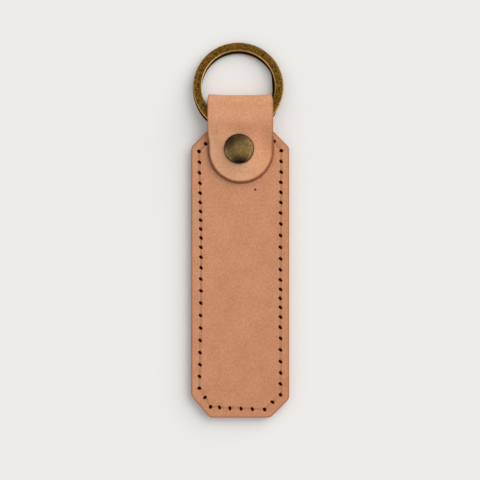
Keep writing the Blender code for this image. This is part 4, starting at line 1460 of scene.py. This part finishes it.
@dataclass(frozen=True)
class PressStud:
    """The press stud: capped socket on the tab and post-fixed stud on the panels, all on one axis.

    Each profile has its edges' rounding, and the radius and height of its corners, in millimetres.
    The cap's lip has how far in from the cap's radius each of its corners lies, and how high.
    """

    axis: Point = STUD_AXIS
    cap_radius: float = 4.95 * MM
    cap_bottom: float = 7.37 * MM
    cap_top: float = 9.27 * MM
    cap_edge: float = 7.97 * MM
    cap_wall: float = 0.35 * MM
    cap_steps: int = 120
    cap_lip: tuple[Point, ...] = ((0.0, 7.52), (0.07, 7.41), (0.2, 7.37))
    outer_dome_steps: int = 26
    inner_dome_steps: int = 12
    roll_width: float = 0.9 * MM
    roll_thick: float = 0.25 * MM
    dome_power: float = 0.92
    steps: int = 72
    hole_sides: int = 48
    flange_hole: float = 3.5 * MM
    flange_depth: float = 0.6 * MM
    rivet_hole: float = 1.4 * MM
    rivet_hole_top: float = 3.0 * MM
    hole_overrun: float = 1.0 * MM
    wire_radius: float = 0.2 * MM
    spring_radius: float = 1.72 * MM
    spring_height: float = 4.3 * MM
    spring_sides: int = 16
    rubbed: float = 0.3
    crown_rubbed: float = 0.2
    crown_reach: float = 2.4 * MM
    # the rim keeps its patina and is darker still as a painted dark reflection
    rim_start: float = 0.91
    rim_fade: float = 0.07
    # dark spots painted on the convex cap as dark reflections: how far each reaches, and each one's centre
    # and size as shares of the cap's radius, and its strength
    dark_reflection_reach: float = 1.35
    dark_reflection_spots: tuple[tuple[Point, float, float], ...] = (
        ((0.06, -1.12), 0.76, 1.0), ((-0.74, 0.66), 0.62, 0.62), ((0.12, 1.05), 0.6, 0.62),
    )
    profiles: tuple[tuple[str, float, tuple[Point, ...]], ...] = (
        ("cap_rivet", 0.08, (
            (0.0, 7.97), (4.38, 7.97), (4.5, 7.85), (4.5, 7.72), (1.1, 7.72), (1.1, 5.22), (1.55, 5.22),
            (1.55, 5.12), (1.35, 5.02), (0.8, 5.02), (0.8, 7.72), (0.0, 7.72),
        )),
        ("snap_socket", 0.08, (
            (1.2, 5.57), (3.6, 5.57), (3.6, 5.32), (2.67, 5.32), (2.67, 4.0), (2.52, 3.85), (1.88, 3.85),
            (1.88, 4.0), (2.22, 4.0), (2.22, 5.32), (1.2, 5.32),
        )),
        ("snap_stud", 0.12, (
            (0.0, 4.92), (1.46, 4.92), (1.68, 4.7), (1.32, 4.4), (1.32, 3.75), (3.3, 3.75), (3.3, 3.45),
            (0.9, 3.45), (0.9, 4.62), (0.0, 4.62),
        )),
        ("stud_post", 0.12, (
            (0.0, 4.52), (0.7, 4.52), (0.8, 4.42), (0.8, 0.5), (3.2, 0.5), (3.2, 0.3), (3.0, 0.1),
            (0.0, 0.1),
        )),
    )

    def holes(self, tab_y: float) -> list[Solid]:
        """What is cut from the flat back leather: the post's recess, and the rivet's hole in the tab."""
        return [
            prism(place, 2 * radius, 2 * radius, 0.0, -self.hole_overrun, high, self.hole_sides)
            for place, radius, high in (
                (self.axis, self.flange_hole, self.flange_depth),
                ((self.axis[0], tab_y), self.rivet_hole, self.rivet_hole_top),
            )
        ]

    def dome(self, radius: float, edge: float, crown: float, count: int) -> list[Point]:
        """A dome's profile from its crown out to its edge, a little flatter than round.

        Args:
            radius: radius of its edge.
            edge: height of its edge.
            crown: height of its crown.
            count: number of steps between them.

        Returns:
            Radius and height of each point.
        """
        points = [(0.0, crown)]
        for step in range(1, count + 1):
            angle = math.pi / 2 * step / count
            height = edge + (crown - edge) * max(math.cos(angle), 0.0) ** self.dome_power
            points.append((radius * math.sin(angle), height))
        return points

    def cap_profile(self) -> list[Point]:
        """The cap: a thin dome whose edge is rolled in under the rivet's flange.

        Returns:
            Radius and height of each corner.
        """
        radius, bottom = self.cap_radius, self.cap_bottom
        roll, inner, inner_z = radius - self.roll_width, radius - self.cap_wall, bottom + self.roll_thick
        return [
            *self.dome(radius, self.cap_edge, self.cap_top, self.outer_dome_steps),
            *[(radius - gap * MM, height * MM) for gap, height in self.cap_lip],
            (roll, bottom), (roll, inner_z), (inner, inner_z),
            *reversed(self.dome(inner, self.cap_edge, self.cap_top - self.cap_wall, self.inner_dome_steps)),
        ]

    def turn(self, node: str, profile: Sequence[Point], steps: int, brass: Material) -> Object:
        """Turns one brass piece about the stud's axis.

        Args:
            node: the CAD node that it stands for.
            profile: radius and height of each corner.
            steps: number of steps round.
            brass: its finish.

        Returns:
            The piece.
        """
        mesh = turned_mesh(node, profile, self.axis, steps)
        shade_smooth(mesh)
        return link_object(node + "_turned", mesh, [brass])

    def build(self, brass: Material, cap_brass: Material) -> dict[str, Object]:
        """Turns the stud's five brass pieces, the cap in its finer-mottled finish.

        Args:
            brass: finish of the pieces under the cap.
            cap_brass: finish of the cap.

        Returns:
            The pieces by the CAD node that each stands for.
        """
        made = {"cap_shell": self.turn("cap_shell", self.cap_profile(), self.cap_steps, cap_brass)}
        mesh = made["cap_shell"].data
        x, y = ((mesh_points(mesh)[:, :2] - self.axis) / self.cap_radius).T
        rho = np.hypot(x, y)
        store(mesh, "rubbed", self.crown_rubbed * np.exp(-(rho * self.cap_radius / self.crown_reach) ** 2))
        # the cap's patina carries painted dark reflections
        store(mesh, "patina", self.cap_patina(x, y, rho))
        for node, radius, profile in self.profiles:
            softened = soften([(r * MM, z * MM) for r, z in profile], radius * MM)
            made[node] = self.turn(node, softened, self.steps, brass)
            mesh = made[node].data
            store(mesh, "rubbed", np.full(len(mesh.vertices), self.rubbed))
            store(mesh, "patina", np.zeros(len(mesh.vertices)))
        return made

    def cap_patina(self, x: Array, y: Array, rho: Array) -> Array:
        """How much of its dark patina the cap keeps: at the rim, where the patina is darkened further as a
        painted dark reflection, and in spots of painted dark reflection.

        Args:
            x: how far right each corner lies, as a share of the cap's radius.
            y: how far up.
            rho: how far out.

        Returns:
            0 for worn and 1 for whole, for each corner.
        """
        kept = eased((rho - self.rim_start) / self.rim_fade)
        # painted dark reflections on the cap
        for centre, size, amount in self.dark_reflection_spots:
            away = np.hypot(x - centre[0], y - centre[1]) / size
            kept = np.maximum(kept, amount * eased(self.dark_reflection_reach - away))
        return kept

    def spring(self, steel: Material) -> Object:
        """The socket's wire ring.

        Args:
            steel: its finish.

        Returns:
            The ring in place.
        """
        angles = [math.tau * step / self.spring_sides for step in range(self.spring_sides)]
        wire, middle, height = self.wire_radius, self.spring_radius, self.spring_height
        profile = [(middle + wire * math.cos(a), height + wire * math.sin(a)) for a in angles]
        mesh = turned_mesh("socket_spring", profile, self.axis, self.steps)
        shade_smooth(mesh)
        return link_object("socket_spring_wire", mesh, [steel])


@dataclass(frozen=True)
class SplitRing:
    """The split ring: one flat wire wound in two close turns, its corners rubbed bright."""

    centre: Place = (-0.6 * MM, 62.069 * MM, 2.902 * MM)
    tilt: float = 0.12029
    mean_radius: float = 13.575 * MM
    band: float = 2.85 * MM
    wire: float = 1.03 * MM
    lift: float = 1.09 * MM
    bevel: float = 0.3 * MM
    crossover: float = math.radians(-62.0)
    crossover_half: float = math.radians(20.0)
    steps: int = 200
    splay: float = 0.8 * MM
    splay_degrees: Point = (-42.0, 30.0)
    splay_fade: float = 26.0
    bevel_rubbed: tuple[float, ...] = (0.35, 0.85, 0.95, 0.75, 0.3)
    face_rubbed: tuple[Point, ...] = ((0.12 * MM, 0.08), (0.4 * MM, 0.0), (1.125 * MM, 0.0))
    wall_slack: float = 0.1
    wall_patina: float = 1.0
    face_patina: float = 0.3
    # painted shade on the lower turn, where the upper turn shades it
    lower_turn_shade_strength: float = 1.0
    under_shift: Point = (-0.08 * MM, -0.58 * MM)
    outer_rubbed: float = 0.8
    outer_patina: float = 0.3

    def path(self) -> Array:
        """Middle line of the wire: a lower turn, the crossover and an upper turn.

        Returns:
            Points in the ring's own frame, a row each.
        """
        first, second = self.crossover - self.crossover_half, self.crossover + self.crossover_half
        start, end = second - 2 * math.pi, first + 2 * math.pi
        count = round(self.steps * (end - start) / (2 * math.pi))
        rows = []
        for step in range(count + 1):
            angle = start + (end - start) * step / count
            share = ease((angle - first) / (second - first))
            inwards = self.splay * self.sprung(angle + 2 * math.pi if angle < -math.pi else angle, share)
            radius = self.mean_radius - inwards
            under = 1.0 - share
            rows.append((
                radius * math.cos(angle) + self.under_shift[0] * under,
                radius * math.sin(angle) + self.under_shift[1] * under,
                self.lift * (share - 0.5),
            ))
        return np.array(rows)

    def sprung(self, angle: float, share: float) -> float:
        """How far the lower turn springs inwards beside the strap, where key rings are prised open.

        Args:
            angle: where on the wire.
            share: how far the crossover has brought the wire up.

        Returns:
            0 for not at all and 1 for the most.
        """
        if share > 0.0:
            return 0.0
        degrees = math.degrees(angle)
        low, high = self.splay_degrees
        return ease((degrees - low) / self.splay_fade) * ease((high - degrees) / self.splay_fade)

    def section(self) -> list[Place]:
        """The wire's section, counter-clockwise.

        Returns:
            How far across, how far up and how bright from rubbing each point is.
        """
        quarter = []
        flat_x, flat_y = self.band / 2 - self.bevel, self.wire / 2 - self.bevel
        for step, bright in enumerate(self.bevel_rubbed):
            angle = math.pi / 2 * step / (len(self.bevel_rubbed) - 1)
            x, y = flat_x + self.bevel * math.cos(angle), flat_y + self.bevel * math.sin(angle)
            quarter.append((x, y, bright))
        quarter += [(flat_x - gap, self.wire / 2, bright) for gap, bright in self.face_rubbed]
        upper = quarter + [(-x, y, bright) for x, y, bright in reversed(quarter)]
        return upper + [(-x, -y, bright) for x, y, bright in upper]

    def sweep_tree(self, material: Material) -> NodeTree:
        """Geometry Nodes that draw the wire's section along its path.

        Args:
            material: the wire's material.

        Returns:
            The node tree; its mesh holds both lines, and the number is_section tells them apart.
        """
        tree, given = new_group("flat_wire_sweep", "Wire Lines", ("Wire Scale",), "Wire")
        flag = add_node(
            tree, "GeometryNodeInputNamedAttribute", {"data_type": "FLOAT", "Name": "is_section"}
        )
        chosen = add_node(tree, "FunctionNodeCompare", {"operation": "GREATER_THAN", 0: flag, 1: 0.5})
        apart = tree.nodes.new("GeometryNodeSeparateGeometry")
        feed(tree, apart, {"domain": "POINT", 0: given["Wire Lines"], 1: chosen})
        section, path = apart.outputs[0], apart.outputs[1]
        scale = vector(tree, **{axis: given["Wire Scale"] for axis in "XYZ"})
        section = add_node(tree, "GeometryNodeTransform", {
            "Geometry": add_node(tree, "GeometryNodeMeshToCurve", {0: section}), "Scale": scale,
        }, "Geometry")
        # the path's own values would win over the section's, which are the ones wanted
        for name in ("rubbed", "patina"):
            path = add_node(tree, "GeometryNodeRemoveAttribute", {"Name": name, "Geometry": path})
        path = add_node(tree, "GeometryNodeMeshToCurve", {0: path})
        level = add_node(tree, "GeometryNodeSetCurveNormal", {"mode": "Z_UP", 0: path})
        swept = add_node(tree, "GeometryNodeCurveToMesh",
                         {"Fill Caps": True, "Curve": level, "Profile Curve": section}, "Mesh")
        close_group(tree, swept, material, "Wire")
        return tree

    def build(self, brass: Material) -> Object:
        """Draws the wire along its path and lays the ring as it rests.

        Args:
            brass: the ring's finish.

        Returns:
            The ring in place.
        """
        path, section = self.path(), np.array(self.section())
        count, corners = len(path), len(section)
        points = np.concatenate([path, np.column_stack([section[:, :2], np.zeros(corners)])])
        edges = [(i, i + 1) for i in range(count - 1)]
        edges += [(count + i, count + (i + 1) % corners) for i in range(corners)]
        mesh = bpy.data.meshes.new("split_ring_lines")
        mesh.from_pydata(points.tolist(), edges, [])
        on_wall = np.abs(section[:, 0]) > self.band / 2 - self.wall_slack * self.bevel
        kept = np.where(on_wall, self.wall_patina, self.face_patina)
        # painted shade on the lower turn, laid on as full patina with no rubbed brightness
        under = self.lower_turn_shade_strength * np.clip(0.5 - path[:, 2] / self.lift, 0.0, 1.0)
        for name, on_path, on_section in (
            ("is_section", np.zeros(count), np.ones(corners)),
            ("rubbed", np.zeros(count), section[:, 2]),
            ("patina", np.zeros(count), kept),
            ("lower_turn_shade", under, np.zeros(corners)),
        ):
            store(mesh, name, np.concatenate([on_path, on_section]))
        obj = link_object("split_ring_wire", mesh)
        mesh = run_nodes(obj, self.sweep_tree(brass), {"Wire Scale": 1.0}, brass)
        shape = bmesh.new()
        shape.from_mesh(mesh)
        bmesh.ops.recalc_face_normals(shape, faces=shape.faces)
        shape.to_mesh(mesh)
        shape.free()
        lower_turn_shade, patina, rubbed = np.empty((3, len(mesh.vertices)), np.float32)
        for name, values in (("lower_turn_shade", lower_turn_shade), ("patina", patina), ("rubbed", rubbed)):
            mesh.attributes[name].data.foreach_get("value", values)
        outside = np.hypot(*mesh_points(mesh)[:, :2].T) > self.mean_radius
        # the lower turn's painted shade joins the real patina, and keeps it from looking rubbed
        store(mesh, "patina", np.maximum(lower_turn_shade, np.where(outside, self.outer_patina, 1.0) * patina))
        store(mesh, "rubbed", rubbed * (1.0 - lower_turn_shade) * np.where(outside, self.outer_rubbed, 1.0))
        mesh.transform(Matrix.Translation(self.centre) @ Matrix.Rotation(-self.tilt, 4, "X"))
        shade_smooth(mesh)
        return obj


@dataclass(frozen=True)
class Studio:
    """A pale table under one large soft light from the upper right, and the camera straight above.

    Each of the room's lobes is a direction, the cosines of its edge and its heart, and its change in level.
    """

    camera_height: float = 420.0 * MM
    camera_place: Point = (-0.07 * MM, 11.33 * MM)
    camera_lens: float = 94.2
    clip_start: float = 1.0 * MM
    floor_half: float = 1.6
    floor_drop: float = 0.03 * MM
    dome: str = "fdfdff"
    dome_strength: float = 0.47
    room: str = "fffdf9"
    room_strength: float = 2.4
    room_level: float = 0.4
    room_lobes: tuple[tuple[Place, float, float, float], ...] = (
        ((0.92, 0.02, 0.38), 0.50, 0.96, 0.50),
        ((-0.82, -0.36, 0.44), 0.74, 0.97, 0.34),
        ((-0.52, 0.50, 0.69), 0.72, 0.97, -0.34),
        ((0.02, -0.77, 0.64), 0.80, 0.95, -0.40),
        ((-0.12, -0.99, 0.05), 0.84, 0.98, 0.55),
    )
    wall_foot: Point = (-0.1, 0.4)
    wall_foot_share: float = 0.5
    key_from: Place = (0.62, 0.55, 0.62)
    key_strength: float = 2.0
    key_spread: float = math.radians(62.0)
    top_from: Place = (0.02, 0.05, 1.0)
    top_strength: float = 0.5
    top_spread: float = math.radians(100.0)

    def build(self) -> None:
        """Builds the floor, the world, the lamps and the camera."""
        self.floor()
        self.world()
        self.lamp("key_light", self.key_from, self.key_strength, self.key_spread)
        self.lamp("top_light", self.top_from, self.top_strength, self.top_spread)
        data = bpy.data.cameras.new("camera")
        data.lens = self.camera_lens
        data.clip_start = self.clip_start
        camera = bpy.data.objects.new("camera", data)
        camera.location = (*self.camera_place, self.camera_height)
        scene = bpy.context.scene
        scene.collection.objects.link(camera)
        scene.camera = camera
        scene.view_settings.view_transform = "Standard"

    def floor(self) -> None:
        """A large sheet of matt white paper."""
        half, z = self.floor_half, -self.floor_drop
        mesh = bpy.data.meshes.new("floor")
        mesh.from_pydata([(-half, -half, z), (half, -half, z), (half, half, z), (-half, half, z)], [],
                         [[0, 1, 2, 3]])
        link_object("floor", mesh, [PAPER.material()])

    def world(self) -> None:
        """Even soft light; metal sees a room with a window on the right and darker corners."""
        world = bpy.data.worlds.new("studio_room")
        bpy.context.scene.world = world
        world.use_nodes = True
        tree = world.node_tree
        tree.nodes.clear()
        direction = add_node(tree, "ShaderNodeTexCoord", out="Generated")
        glow: Value = self.room_level
        for towards, edge, heart, change in self.room_lobes:
            near = add_node(
                tree, "ShaderNodeVectorMath", {"operation": "DOT_PRODUCT", 0: direction, 1: towards}, "Value"
            )
            lobe = span(tree, near, edge, heart, 0.0, change, smooth=True)
            glow = compute(tree, "ADD", glow, lobe, clamp=True)
        height = add_node(tree, "ShaderNodeSeparateXYZ", {0: direction}, "Z")
        full = self.room_strength
        wall = span(tree, height, *self.wall_foot, self.wall_foot_share * full, full, smooth=True)
        room, soft, seen = (
            add_node(tree, "ShaderNodeBackground", {"Color": linear(colour), "Strength": strength})
            for colour, strength in (
                (self.room, compute(tree, "MULTIPLY", glow, wall)), (self.dome, self.dome_strength),
                (PAPER_COLOUR, 1.0),
            )
        )
        rays = tree.nodes.new("ShaderNodeLightPath").outputs
        for kind, sight in (("Is Glossy Ray", room), ("Is Camera Ray", seen)):
            soft = add_node(tree, "ShaderNodeMixShader", {0: rays[kind], 1: soft, 2: sight})
        feed(tree, tree.nodes.new("ShaderNodeOutputWorld"), {"Surface": soft})

    def lamp(self, name: str, source: Place, strength: float, spread: float) -> None:
        """A far soft light.

        Args:
            name: its name.
            source: the direction that it comes from.
            strength: its strength.
            spread: the angle that it is spread over.
        """
        data = bpy.data.lights.new(name, "SUN")
        data.energy = strength
        data.angle = spread
        lamp = bpy.data.objects.new(name, data)
        lamp.rotation_euler = Vector(source).to_track_quat("Z", "Y").to_euler()
        lamp.visible_glossy = False
        bpy.context.scene.collection.objects.link(lamp)


def report(obj: Object) -> None:
    """Logs a piece's size and number of faces.

    Args:
        obj: the piece.
    """
    points = mesh_points(obj.data)
    size = (points.max(axis=0) - points.min(axis=0)) / MM
    LOG.info("%-26s %6.1f %6.1f %6.1f mm, %6d faces", obj.name, *size, len(obj.data.polygons))


def hang(piece: Object, body: Body, node: str) -> None:
    """Puts a rigid piece on its body.

    Args:
        piece: the piece.
        body: the body that it rides on.
        node: the CAD node that it replaces.
    """
    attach(piece, body.value)
    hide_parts(node)
    report(piece)


def main() -> None:
    logging.basicConfig(level=logging.INFO, format="%(message)s")
    # the leather's second finish is the hole core, darkened as painted shade
    finishes = [TannedLeather().material(), SHADED_HOLE_CORE.material()]
    brass, linen = AntiqueBrass().material(), WAXED_LINEN.material()
    tag, stud = Tag(), PressStud()

    hang(tag.front_panel(finishes), Body.TAG, "front_panel")

    tab_y = tag.flap_start() + tag.fold_y - stud.axis[1]
    back = tag.back_leather(finishes, stud.holes(tab_y))
    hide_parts("back_panel", "strap_fold", "strap_flap")
    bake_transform(back)
    report(back)

    for name, face, node in (
        ("face_stitches", Face.FRONT, "face_thread"), ("back_stitches", Face.BACK, "back_thread"),
    ):
        hang(tag.seam.thread(name, face, linen), Body.TAG, node)

    for node, piece in stud.build(brass, CAP_BRASS.material()).items():
        body = Body.FLAP if node in ("cap_shell", "cap_rivet", "snap_socket") else Body.TAG
        hang(piece, body, node)
    hang(stud.spring(SPRING_STEEL.material()), Body.FLAP, "socket_spring")

    hang(SplitRing().build(brass), Body.RING, "split_ring")

    Studio().build()


if __name__ == "__main__":
    main()
